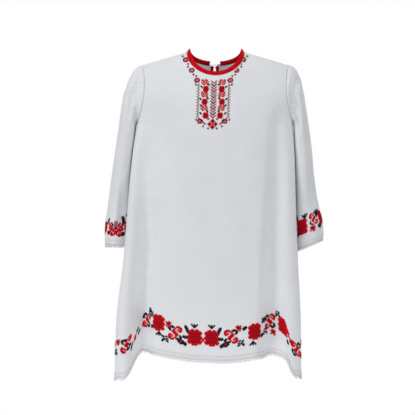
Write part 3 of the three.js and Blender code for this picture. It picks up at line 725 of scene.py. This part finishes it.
class Ground:
    """A stretch of cloth where u runs right along it and v up, both in millimetres."""

    def __init__(self, point, start, end, middle, level):
        """point(place, v) gives its points; u is measured along v = level, from place middle."""
        self.point = point
        self.places = np.linspace(start, end, GROUND_STEPS)
        line = point(self.places, np.full(GROUND_STEPS, float(level)))
        steps = np.linalg.norm(np.diff(line, axis=0), axis=1)
        length = np.concatenate([[0], np.cumsum(steps)])
        order = np.argsort(self.places)
        zero = np.interp(middle, self.places[order], length[order])
        self.lengths = length - zero
        self.low, self.high = self.lengths[0], self.lengths[-1]

    def at(self, u, v):
        place = np.interp(u, self.lengths, self.places)
        return self.point(place, v)

    def with_normals(self, u, v):
        u, v = grids(u, v)
        points = self.at(u, v)
        along = self.at(u + GROUND_STEP, v) - self.at(u - GROUND_STEP, v)
        up = self.at(u, v + GROUND_STEP) - self.at(u, v - GROUND_STEP)
        return points, cross_normals(along, up)


def hem_ground(panel):
    def point(at, v):
        return panel_surface(panel, at, cloth_hem(panel, at) + v)
    sign = -FACING[panel]
    return Ground(point, -sign, sign, BAND_MIDDLE[panel], BAND_LEVEL)


def chest_ground():
    def point(x, v):
        x = x + CHEST_TILT * (v - CHEST_LEVEL)
        return panel_surface("front", face_place("front", x, v), v)
    return Ground(point, -CHEST_REACH, CHEST_REACH, CHEST_MIDDLE, CHEST_LINE)


def cuff_ground(side):
    end = LAST_RING - LACE_RINGS

    def point(angle, v):
        span = sleeve_point(side, end - CUFF_SLOPE, angle) - sleeve_point(side, end, angle)
        ring_length = np.linalg.norm(span, axis=-1) / CUFF_SLOPE
        return sleeve_surface(side, end - v / ring_length, angle)
    start = pi / 2 + SIDE[side] * pi
    return Ground(point, start, start - SIDE[side] * 2 * pi, pi / 2, CUFF_LEVEL)


GROUNDS = {"chest": chest_ground(), **{panel: hem_ground(panel) for panel in FACING},
           **{side: cuff_ground(side) for side in SIDE}}

# ---- cross-stitch embroidery ----

PITCH = 1.54  # one stitch
STITCH_HALF = 0.47  # of the pitch, from the middle of a stitch to its corners
THREAD_RADIUS = 0.52
THREAD_FLATNESS = 0.5
STITCH_RISE = (0.22, 0.42)  # of the lower and the upper thread
END_MARGIN = 1.5  # a stitch's middle keeps this from the ends of the cloth
NECK_MARGIN = 2.5


def chart(rows):
    return tuple(rows.split("|"))


def squared(rows):
    """The rows of a chart, all as long as its longest."""
    width = max(len(row) for row in rows)
    return [row.ljust(width, ".") for row in rows]


def doubled(half):
    """A whole chart from its left half; the last column is the middle."""
    return tuple(row + row[-2::-1] for row in squared(chart(half)))


def mirrored(rows):
    return tuple(row[::-1] for row in squared(rows))


def spun(half):
    """A whole chart from its upper half; the lower half is that turned round."""
    rows = squared(chart(half))
    return tuple(rows + [row[::-1] for row in rows[::-1]])


ROSE = doubled(
    "......rrr..|....rrrrrr.|..r.rrrrrrd|.rrrrrrdrrd|rrrrrrdrrrr|rrrrddrrrdd|rrrrdrrrddr|"
    ".rrrdrrddrr|..rrddrdrrr|.rrrrddrrrd|rrrrrrddrdd|rrrddrrrddr|rrrrddrrdrr|rrrrrdddrrr|"
    ".rdrrrrddrr|..ddrrrrddd|.rrrddrrrrr|rrrrrdddrrr|rrrrrrrdddd|.rrrrrrrrrr|..rrr.rrrrr|"
    "......rrrrr|.......rrr.")
MID_ROSE = doubled(
    "......rr|...rrrrr|.rrrrrdr|.rrrddrd|..rrdrrd|rrrrrdrr|rrrdrrdd|.rrrdrdr|rrrdrrrd|rrrddrdr|"
    ".rrrrddd|..rrrrrr|.rrrddrr|.rrrrrdr|...rrrrr|....rrrr|......r.")
SMALL_ROSE = doubled("..rr.|.rrrd|.rrdr|rrdrd|.rrdd|rrdrk|.rrrd|.rdrr|..rr.")
CURLS = spun(
    "...rrrrr.....kkk|.rrrrrrrr..kkkkkkk|rrrrrrrrr.kkkkkkkkk|rrrrr...rrr.kkk.kkkk|"
    "rrrr.rr..rrr....kkkk|rrrr.rrr..rrr...kkkk|rrrrrrr...rrrr.kkkk|.rrrrr...rrrrrr.kk|"
    "..rr....rrrrrrr|......rrrrrrrr")
SCROLLS = spun(
    "..rrrr..kkk|.rrrrrr..kkkk|rrrr..rr...kkk|rrr.r..rr...kk|rrrrr..rrr..kk|.rrr..rrrrr.k|"
    ".....rrrrrr...")
TULIP = doubled(
    "..........rr|..r.......rr|.rr..kk...rd|.rrr.kkk..rd|rrrr..kkk.rd|rrrrr.kkk.dd|.rrrrr.kk.rd|"
    "..rrrrr.k.rrr|.rrrrrrr..rrr|rrrrr.rrr.rrr|rrrr.rrrr.kkk|rrrrrrrrrr.kk|..rrrrrrrrr..|"
    "....rrrrrrrrr|..rrrr..rrrrr|.rrrr.rr.rrrr|.rrr.rrr..rrr|.rrrrrrrr.rrr|..rrrrrrrrrr|"
    "...rrrrrrrr|.....rrrr")
BUD = chart(".....kkk|..kkkkkkk|.kkkkrrkkk|kkkkrrrdkkk|kkkkkrdkkk|.kkkkkkkk|...kkkkk|.....k")
LEAF = chart("...kkk|..kkkk|.kkkkk|.kkkkk|kkkkk|kkkkk|kkkk|kkkk|kkk|.kk")
LEAFLET = chart("..kkkk|.kkkkkk|kkkkkkk|kkkkkk|.kkkk|.kk")
SERRATED = chart(".k.k.kk|kkkkkkk|.kkkkkkk|kkkkkkk|k.k.k")
SPRIG = chart("kk..kk..kk|kkk.kk.kkk|.kkkkkkkk|..kkkkkk|...kkkk|....kk")
TWIG = chart(
    "..kkk..kk|.kkkk.kkk|......kkk|.kkk.kkk|kkkk.kk|k..kkkkkkk|.kkk..kkkk|kkkk...kkk|kk......kk")
DAISY = chart(".kk..kkk|kkkk.kkkk|.kkkkkkkk|..kkkdkkk|.kkkkkkk|kkkkkkkkk|kkkk.kkkk|.kk...kk")
FLOWER = chart("...rr|.rrrr.rrr|rrrrdrrrr|.rrdddrr|..rdddrr|.rrrdrrrr|rrr.rr.rr|.r..rrr|.....rrr")
LINK = chart("rr..rr|rrrrrr|.rrrr|..rr|.rrrr|rrrrrr")
CHEVRONS = doubled("rr...|.rr..|..rr.|...rr|....r"), doubled("kk...|.kk..|..kk.|...kk|....k")
STAR_TOP = doubled(
    ".......r|......rr|.....rdr|....rrdd|...r.rrd|..rd..rr|.rrddr.r|rrrddrr.")
STAR = STAR_TOP + STAR_TOP[-2::-1]
TINY_CURLS = chart(
    "..rrr..rr|.rrrrr.rrr|.rr..r.rr|k.rr.rrr.k|k.rrr.rr.k|.rr.r..rr|rrr.rrrrr|.rr..rrr")
PETALS = chart("..dd.dd|.drddrd|dd.rr.dd|drr..rrd|dd.rr.dd|.drddrd|..dd.dd")
DIAMOND = chart(".d|ddd|.d")
BITS = chart(".kk|kkk|kk")

# The skirt's band, in stitches: chart, place from the middle, height above the hem. What lies
# near the middle is mirrored on its other side.
HEM_MIDDLE = (
    (LINK, 0, 26), (ROSE, 12, 29), (SPRIG, 12, 44), (LEAF, 23, 39), (SERRATED, 25, 28),
    (LEAFLET, 26, 18), (BUD, 31, 20), (CURLS, 39, 31), (FLOWER, 49, 42), (TWIG, 53, 21),
)
HEM_LEFT = (
    (ROSE, -65, 41), (SPRIG[::-1], -62, 26), (LEAFLET, -77, 33), (TWIG, -78, 50),
    (DAISY, -86, 53), (mirrored(CURLS), -93, 39), (LEAFLET, -112, 30),
    (SERRATED, -118, 38), (FLOWER, -126, 33), (LEAF, -136, 29), (mirrored(CURLS), -150, 41),
    (FLOWER, -166, 47), (TWIG, -170, 34), (FLOWER, -178, 45), (ROSE, -194, 36),
    (LEAF, -208, 44), (BUD, -212, 30),
)
HEM_RIGHT = (
    (ROSE, 73, 34), (SPRIG[::-1], 70, 18), (LEAFLET, 86, 27), (DAISY, 90, 47),
    (TWIG, 95, 31), (LEAFLET, 58, 40), (mirrored(CURLS), 105, 42), (FLOWER, 110, 27),
    (TWIG, 120, 54), (ROSE, 130, 41), (LEAFLET, 141, 27), (FLOWER, 144, 43),
    (FLOWER, 152, 38), (CURLS, 164, 34), (FLOWER, 178, 46), (TWIG, 179, 28), (ROSE, 197, 35),
    (BUD, 212, 30),
)
HEM_BANDS = {"front": (HEM_RIGHT + HEM_LEFT, HEM_MIDDLE), "back": ((), HEM_MIDDLE + HEM_RIGHT)}
# The cuffs' bands, in stitches from the middle of the front
CUFF_BANDS = {
    "left": (
        (TULIP, 0, 21), (mirrored(LEAF), 12, 31), (BITS, 17, 37), (LEAFLET, 12, 14),
        (MID_ROSE, 21, 23), (SPRIG, 32, 35), (LEAFLET, -13, 14), (LEAF, -14, 30),
        (MID_ROSE, -25, 22), (TULIP, 48, 22), (TULIP, -48, 21), (BUD, 62, 14), (FLOWER, 66, 30),
        (DAISY, -65, 26),
    ),
    "right": (
        (ROSE[2:-2], -15, 26), (mirrored(LEAF), -25, 37), (SPRIG, -7, 37),
        (LEAFLET, -22, 17), (SCROLLS, 7, 30), (FLOWER, 3, 19), (DAISY, 15, 35),
        (MID_ROSE, 23, 29), (LEAF, 35, 28), (SCROLLS, 42, 26), (BUD, 17, 19),
        (TULIP, -42, 24), (CURLS, 58, 24), (MID_ROSE, -63, 24),
    ),
}
CHEVRON_HEIGHTS = range(10, 62, 4)
ZIGZAG_ROWS, ZIGZAG = range(10, 57), ((20,), (21,), (22, 23), (21,))  # its places, row by row
# The chest, in stitches right of the star's middle and above it; each is mirrored too
CHEST = (
    (SMALL_ROSE, 10, 12), (TINY_CURLS, 12, 22), (SMALL_ROSE, 12, 31), (TINY_CURLS, 12, 41),
    (SMALL_ROSE, 11, 49), (TINY_CURLS, 12, 58), (BITS, 17, 15), (BITS, 8, 18), (BITS, 18, 35),
    (BITS, 8, 36), (BITS, 17, 52), (BITS, 7, 55), (BITS, 17, 26), (PETALS, 17, 4),
    (DIAMOND, 23, 6), (DIAMOND, 13, -3), (DIAMOND, 6, -6), (DIAMOND, 6, 7),
)
DIAGONAL_START, DIAGONAL = 20, (9, 8, 7, 6, 6, 5, 4, 3, 2, 1, 1)  # its heights, going inwards
# Garland beside the neck: places from the middle and heights, in millimetres
GARLAND = (
    (PETALS, 61, -18), (DIAMOND, 69, -10), (DIAMOND, 57, -26),
    (DIAMOND, 57, -33), (PETALS, 48.5, -41), (DIAMOND, 44.5, -50),
    (DIAMOND, 38, -53), (PETALS, 35.5, -62), (DIAMOND, 38.5, -71),
)


def mark(cells, rows, i, j):
    """Puts a chart into the cells, its middle at column i and row j."""
    width = max(len(row) for row in rows)
    for down, row in enumerate(rows):
        for across, colour in enumerate(row):
            if colour != ".":
                cells[i + across - width // 2, j + len(rows) // 2 - down] = colour


def charted(singles, doubles=()):
    """The cells of charts at their places; the doubles are mirrored too, and come first."""
    cells = {}
    for rows, i, j in doubles:
        mark(cells, rows, i, j)
        mark(cells, mirrored(rows), -i, j)
    for rows, i, j in singles:
        mark(cells, rows, i, j)
    return cells


def chest_cells():
    chevrons = [(CHEVRONS[k % 2], 0, j) for k, j in enumerate(CHEVRON_HEIGHTS)]
    cells = charted([(STAR, 0, 0), *chevrons])
    cells.update(charted((), CHEST))
    for j in ZIGZAG_ROWS:
        for i in ZIGZAG[j % len(ZIGZAG)]:
            cells[i, j] = cells[-i, j] = "d"
    for k, height in enumerate(DIAGONAL):
        for j in (height, height - 1):
            cells[DIAGONAL_START - k, j] = cells[k - DIAGONAL_START, j] = "d"
    garland = [(rows, round(x / PITCH), round((z - CHEST_LEVEL) / PITCH)) for rows, x, z in GARLAND]
    cells.update(charted((), garland))
    return cells


def cross_stitches(name, ground, cells, base, limit=None):
    """Every cell is a cross of two threads, one over the other."""
    places = np.array(list(cells), float)
    colours = np.array([THREAD_LETTERS.index(letter) for letter in cells.values()])
    u, v = places[:, 0] * PITCH, places[:, 1] * PITCH + base
    keep = (u > ground.low + END_MARGIN) & (u < ground.high - END_MARGIN)
    if limit is not None:
        keep &= limit(u, v)
    u, v, colours = u[keep], v[keep], colours[keep]
    half = PITCH * STITCH_HALF
    parts = []
    for slant, rise in ((1, STITCH_RISE[0]), (-1, STITCH_RISE[1])):
        ends_u = np.stack([u - half, u + half], 1)
        ends_v = np.stack([v - slant * half, v + slant * half], 1)
        points, normals = ground.with_normals(ends_u, ends_v)
        parts.append(threads(points + normals * rise, normals, THREAD_RADIUS, THREAD_FLATNESS))
    vertices, faces = joined(parts)
    sides = len(faces) // (2 * len(u))
    indices = np.tile(np.repeat(colours, sides), 2)
    return new_mesh(name, vertices, faces, THREADS, indices=indices)


def on_chest(u, v):
    x = u + CHEST_MIDDLE + CHEST_TILT * (v - CHEST_LEVEL)
    return v < top_z("front", x) - NECK_MARGIN


# ---- sewing and edging ----

SEW_RADIUS = 0.28
SEW_LENGTH, SEW_PITCH = 2.4, 3.4
SEW_LIFT = (-0.15, 0.2, -0.15)
SEW_MARGIN = 2
HEM_ROWS = (5.2, 7.4)
LACE_REPEAT = 9.4
LACE_ROWS = (-0.9, -2.4)  # the two cords that the edging hangs from
LACE_BOTTOM = -8.2
LACE_CORD, LACE_BAR, LACE_EDGE = 0.62, 0.465, 0.713  # radii of arcs, bars and the two cords
LACE_ARC, LACE_LINE = 13, 6  # points of an arc, and of a cord for each repeat
LACE_DEPTH = 0.6  # below the outer face
LACE_INNER, LACE_INNER_DROP = 0.5, 0.48  # the inner arc's shares of the outer one
LACE_SPOKES = ((-0.8, 0.6), (-0.3, 1), (0.3, 1), (0.8, 0.6))
LACE_SPOKE_ENDS = ((0.5, 0.42), (0.85, 0.9))
LACE_BARS, LACE_SLANT = (0.06, 0.3, 0.56, 0.8), 0.12  # shares of a repeat


def sewing_rows(name, ground):
    """Rows of running stitches along a ground."""
    last = ground.high - SEW_LENGTH - SEW_MARGIN
    starts = np.arange(ground.low + SEW_MARGIN, last, SEW_PITCH)
    u = starts[:, None] + np.linspace(0, SEW_LENGTH, len(SEW_LIFT))
    parts = []
    for v in HEM_ROWS:
        points, normals = ground.with_normals(u, v)
        points = points + normals * np.array(SEW_LIFT)[:, None]
        parts.append(threads(points, normals, SEW_RADIUS))
    return new_mesh(name, *joined(parts), [SEWING])


def lace_curves(start, width):
    """The threads of one repeat of the edging, as points (u, v)."""
    middle, half = start + width / 2, width / 2
    turn = np.linspace(0, pi, LACE_ARC)
    top = LACE_ROWS[1]
    drop = top - LACE_BOTTOM
    arcs = [np.stack([middle - wide * half * np.cos(turn), top - deep * drop * np.sin(turn)], 1)
            for wide, deep in ((1, 1), (LACE_INNER, LACE_INNER_DROP))]
    spokes = [np.array([[middle + wide * half * s, top - deep * drop * c]
                        for wide, deep in LACE_SPOKE_ENDS]) for s, c in LACE_SPOKES]
    bars = [np.stack([start + (share + np.array((0, LACE_SLANT))) * width, LACE_ROWS], 1)
            for share in LACE_BARS]
    return arcs, spokes + bars


def lace(name, ground, solid):
    repeats = round((ground.high - ground.low) / LACE_REPEAT)
    width = (ground.high - ground.low) / repeats
    arcs, bars = [], []
    for k in range(repeats):
        more_arcs, more_bars = lace_curves(ground.low + k * width, width)
        arcs += more_arcs
        bars += more_bars
    line = np.linspace(ground.low, ground.high, repeats * LACE_LINE)
    cords = [np.stack([line, np.full(line.shape, v)], 1) for v in LACE_ROWS]
    parts = []
    for curves, radius in ((arcs, LACE_CORD), (bars, LACE_BAR), (cords, LACE_EDGE)):
        curves = np.array(curves)
        points, normals = ground.with_normals(curves[..., 0], curves[..., 1])
        parts.append(threads(points - normals * LACE_DEPTH, normals, radius))
    return new_mesh(name, *joined(parts), [COTTON], solid, "lace")


# ---- binding, button and loop ----

SEAM_INDEX = 12  # places from one end of the front neck to the other
SEAM_END = 0.02
NEARBY = (0.99, 0.3)  # a point close by: its share of x, and how far beside that
KEYHOLE_STEPS = (24, 28)  # along a side and round the bottom
BINDING_LEAN = {"front": 0.28, "back": -0.12}
BINDING_SPLAY, BINDING_RISE = -0.62, 0.8
BINDING_STEPS = (40, 121)  # along each half of the back, and along the front
BINDING_SUNK, BINDING_FOOT = 0.8, 2.08  # inside the cloth's face, and above the seam
BUTTON_SIDES, LOOP_SIDES = 40, (64, 10)
BUTTON_RIM = ((0, -0.6), (-0.2, -0.2), (-0.7, 0), (-1.2, -0.1), (-1.8, -0.6))  # from its top's edge
BUTTON_UNDER = ((-0.5, 0), (0, 0.7))  # from its under side's edge
BUTTON_DISH, POLE = (1.5, -0.4), 0.01  # radius and height of its middle, and the innermost radius
LOOP_TWISTS, LOOP_RELIEF, LOOP_SLIM = 24, 0.1, 0.95
CLOSURE_STEP = 4
BINDING_SECTION = ((0, -1.2), (4.5, -1.3), (8.2, -1.2), (9.2, -0.8), (9.5, 0),
                   (9.2, 0.8), (8.2, 1.2), (4.5, 1.3), (0, 1.2), (-0.5, 0))
KEYHOLE_SECTION = ((0, 0.1), (0.4, 0.45), (2.5, 0.6), (4.6, 0.45), (5, 0.1),
                   (6.5, -1.75), (6.3, -2.15), (3.2, -2.3), (0.4, -2.05), (0, -1.7))


def loft(sections, closed=False):
    """A solid through a row of sections that each go round the same way."""
    rows, around, _ = sections.shape
    if closed:
        return sections.reshape(-1, 3), grid_quads(rows + 1, around, True) % (rows * around)
    ends = []
    for k in range(around // 2 - 1):
        cap = np.array([k, k + 1, around - 2 - k, around - 1 - k])
        ends += [cap[::-1], cap + (rows - 1) * around]
    return sections.reshape(-1, 3), np.concatenate([grid_quads(rows, around, True), ends])


def neck_seam(panel, place):
    """Points of the neck seam and the panel's normals there."""
    inside = np.clip(place, SEAM_END, SEAM_INDEX - SEAM_END)
    x = NECK_HALF * np.sin((inside / SEAM_INDEX - 0.5) * pi)
    at, z = place_across(panel, x), neck_z(panel, x)
    points = body_point(panel, at, z)
    along = body_point(panel, place_across(panel, x * NEARBY[0] + NEARBY[1]), z) - points
    along *= np.sign(along[..., :1]) * -FACING[panel]
    up = points - body_point(panel, at, z - STEP_Z)
    return points, cross_normals(along, up)


def neck_binding():
    first, last = ((asin(BINDING_END[side] / NECK_HALF) / pi + 0.5) * SEAM_INDEX
                   for side in SIDE)
    back_steps, front_steps = BINDING_STEPS
    stations = [("back", np.linspace(first, 0, back_steps)),
                ("front", np.linspace(0, SEAM_INDEX, front_steps)[1:-1]),
                ("back", np.linspace(SEAM_INDEX, last, back_steps))]
    seams = [neck_seam(*station) for station in stations]
    points, normals = (np.concatenate(part) for part in zip(*seams))
    turns = (np.concatenate([places for _, places in stations]) / SEAM_INDEX - 0.5) * pi
    leans = np.concatenate([0 * places + BINDING_LEAN[panel] for panel, places in stations])
    tangents = unit(np.gradient(points, axis=0))
    rise = np.stack(
        [BINDING_SPLAY * np.sin(turns), leans * np.cos(turns), 0 * turns + BINDING_RISE], 1)
    rise = unit(rise - tangents * np.sum(rise * tangents, 1, keepdims=True))
    out = np.cross(tangents, rise)
    steep = np.abs(np.sum(normals * rise, 1, keepdims=True))
    foot = points - normals * BINDING_SUNK + rise * (SEAM + BINDING_FOOT * steep)
    sections = np.stack([foot + rise * up + out * side for up, side in BINDING_SECTION], 1)
    return new_mesh("neck_binding_cloth", *loft(sections), [SATIN], "neck_binding", "binding")


def keyhole_outline(offset):
    """The keyhole's outline at a distance from its open edge, from its top left round."""
    t = np.linspace(0, 1, KEYHOLE_STEPS[0], endpoint=False)
    wide, half = keyhole_wide(offset, t), KEYHOLE["half"] + offset
    z = lerp(BACK_NECK_Z - SEAM, KEYHOLE["z"], t)
    turn = pi + np.linspace(0, pi, KEYHOLE_STEPS[1])
    x = np.concatenate([-wide, half * np.cos(turn), wide[::-1]]) + KEYHOLE["x"]
    return x, np.concatenate([z, KEYHOLE["z"] + half * np.sin(turn), z[::-1]])


def back_point(x, z):
    return body_point("back", face_place("back", x, z), z)


def keyhole_binding():
    rings = [back_point(*keyhole_outline(offset)) + (0, out, 0) for offset, out in KEYHOLE_SECTION]
    solid = loft(np.stack(rings, 1))
    return new_mesh("keyhole_binding_cloth", *solid, [SATIN], "keyhole_binding", "binding")


def closure_frame():
    """Foot of the button and loop, and the directions across, up and out."""
    z = BACK_NECK_Z - BUTTON["below"]
    foot = back_point(0, z)
    across = np.array([-1.0, 0, 0])
    out = unit(np.cross(-across, back_point(0, z - CLOSURE_STEP) - foot))
    return foot, np.stack([across, np.cross(out, across), out])


def button():
    face = LOOP["height"] + LOOP["cord"] + SEAM
    radius, thick = BUTTON["radius"], BUTTON["thick"]
    under = [(radius + out, face + up) for out, up in BUTTON_UNDER]
    rim = [(radius + out, face + thick + up) for out, up in BUTTON_RIM]
    dish = face + thick + BUTTON_DISH[1]
    profile = ((POLE, BUTTON["foot"]), (BUTTON["shank"], BUTTON["foot"]), (BUTTON["shank"], face),
               *under, *rim, (BUTTON_DISH[0], dish), (POLE, dish))
    turn = full_turn(BUTTON_SIDES)
    rings = [np.stack([r * np.cos(turn) - BUTTON["x"], r * np.sin(turn), 0 * turn + h], 1)
             for r, h in profile]
    foot, axes = closure_frame()
    vertices, faces = loft(np.array(rings))
    new_mesh("button_shell", vertices @ axes + foot, faces, [SHELL], "button", "button")


def loop():
    turn, around = (full_turn(count) for count in LOOP_SIDES)
    out = np.stack([np.cos(turn), np.sin(turn), 0 * turn], 1)
    middle = np.where(np.cos(turn) > 0, LOOP["left"], BUTTON["x"])
    ridge = 1 + LOOP_RELIEF * np.sin(turn * LOOP_TWISTS)[:, None, None]
    centre = np.stack([-middle, 0 * turn, 0 * turn + LOOP["height"]], 1) + out * LOOP["half"]
    cord = LOOP["cord"] * ridge * LOOP_SLIM
    sections = centre[:, None] + cord * np.cos(around)[None, :, None] * out[:, None]
    sections = sections + cord * np.sin(around)[None, :, None] * np.array([0, 0, 1.0])
    foot, axes = closure_frame()
    vertices, faces = loft(sections, closed=True)
    vertices, faces = vertices @ axes + foot, faces[:, ::-1]
    new_mesh("loop_cord", vertices, faces, [COTTON], "button_loop", "loop")


# ---- the dress ----


def trimming(kind, key, cells):
    """The embroidery, sewing and edging of the lower end of one piece of cloth."""
    ground = GROUNDS[key]
    return [
        cross_stitches("%s_embroidery_%s" % (kind, key), ground, cells, 0),
        sewing_rows("%s_stitches_%s" % (kind, key), ground),
        lace("%s_edging_%s" % (kind, key), ground, "%s_lace_%s" % (kind, key)),
    ]


on_cloth = {
    "front": [
        cross_stitches("chest_embroidery", GROUNDS["chest"], chest_cells(), CHEST_LEVEL, on_chest),
        neck_binding(),
    ],
    "back": [keyhole_binding()],
}
for panel in FACING:
    panel_cloth(panel)
    on_cloth[panel] += trimming("hem", panel, charted(*HEM_BANDS[panel]))
for side in SIDE:
    sleeve_cloth(side)
    on_cloth[side] = trimming("cuff", side, charted(CUFF_BANDS[side]))
button()
loop()

# ---- studio ----

CAMERA_DISTANCE = 12.0
FRAME_WIDTH = 0.892
FRAME_CENTRE = (-0.0174, -0.334)
SENSOR = 36
FLOOR = {"z": -1.0, "radius": 1.3, "sides": 96}
FLOOR_COLOURS = (0.84, 0.84, 0.85), (0.87, 0.87, 0.88)
FLOOR_ROUGHNESS, FLOOR_MOTTLE = 0.9, 3.0
AMBIENT, AMBIENT_COLOUR = 0.5, (0.94, 0.97, 1, 1)
LIGHTS = {  # place, size and power
    "key": ((-2.6, -2.2, 0.3), 1.8, 31),
    "fill": ((1.6, -2.4, 0.0), 2.0, 10),
    "above": ((-0.1, -0.8, 1.7), 0.8, 9),
    "behind": ((0.6, 2.8, 0.6), 2.0, 34),
}


def camera():
    data = bpy.data.cameras.new("camera")
    data.sensor_width = SENSOR
    data.lens = SENSOR * CAMERA_DISTANCE / FRAME_WIDTH
    piece = placed("camera", data)
    piece.location = (FRAME_CENTRE[0], -CAMERA_DISTANCE, FRAME_CENTRE[1])
    piece.rotation_euler = (pi / 2, 0, 0)
    bpy.context.scene.camera = piece


def area_light(name, place, size, energy):
    data = bpy.data.lights.new(name, "AREA")
    data.shape, data.size, data.energy = "DISK", size, energy
    piece = placed(name, data)
    piece.location = place
    aim = Vector((0, 0, FRAME_CENTRE[1])) - Vector(place)
    piece.rotation_euler = aim.to_track_quat("-Z", "Y").to_euler()


def world():
    """White behind the dress, and soft light of its own all round it."""
    studio = bpy.data.worlds.new("studio")
    bpy.context.scene.world = studio
    studio.use_nodes = True
    tree = studio.node_tree
    link = tree.links.new
    seen = node(tree, "LightPath")
    white = tree.nodes["Background"]
    white.inputs["Color"].default_value = (1, 1, 1, 1)
    light = node(tree, "Background", Color=AMBIENT_COLOUR, Strength=AMBIENT)
    mix = node(tree, "MixShader")
    link(seen.outputs["Is Camera Ray"], mix.inputs["Fac"])
    link(light.outputs["Background"], mix.inputs[1])
    link(white.outputs["Background"], mix.inputs[2])
    link(mix.outputs["Shader"], tree.nodes["World Output"].inputs["Surface"])


def floor():
    material, tree, shader = material_tree("pale_floor", FLOOR_COLOURS[0], FLOOR_ROUGHNESS)
    mottle(tree, shader, *FLOOR_COLOURS, FLOOR_MOTTLE)
    turn = full_turn(FLOOR["sides"])
    rim = np.stack([np.cos(turn), np.sin(turn), 0 * turn], 1) * FLOOR["radius"]
    mesh = bpy.data.meshes.new("floor")
    mesh.from_pydata((rim + (0, 0, FLOOR["z"])).tolist(), [], [list(range(len(rim)))])
    mesh.materials.append(material)
    placed("floor", mesh)


camera()
world()
floor()
for name, (place, size, energy) in LIGHTS.items():
    area_light(name, place, size, energy)
bpy.context.scene.view_settings.view_transform = "Standard"
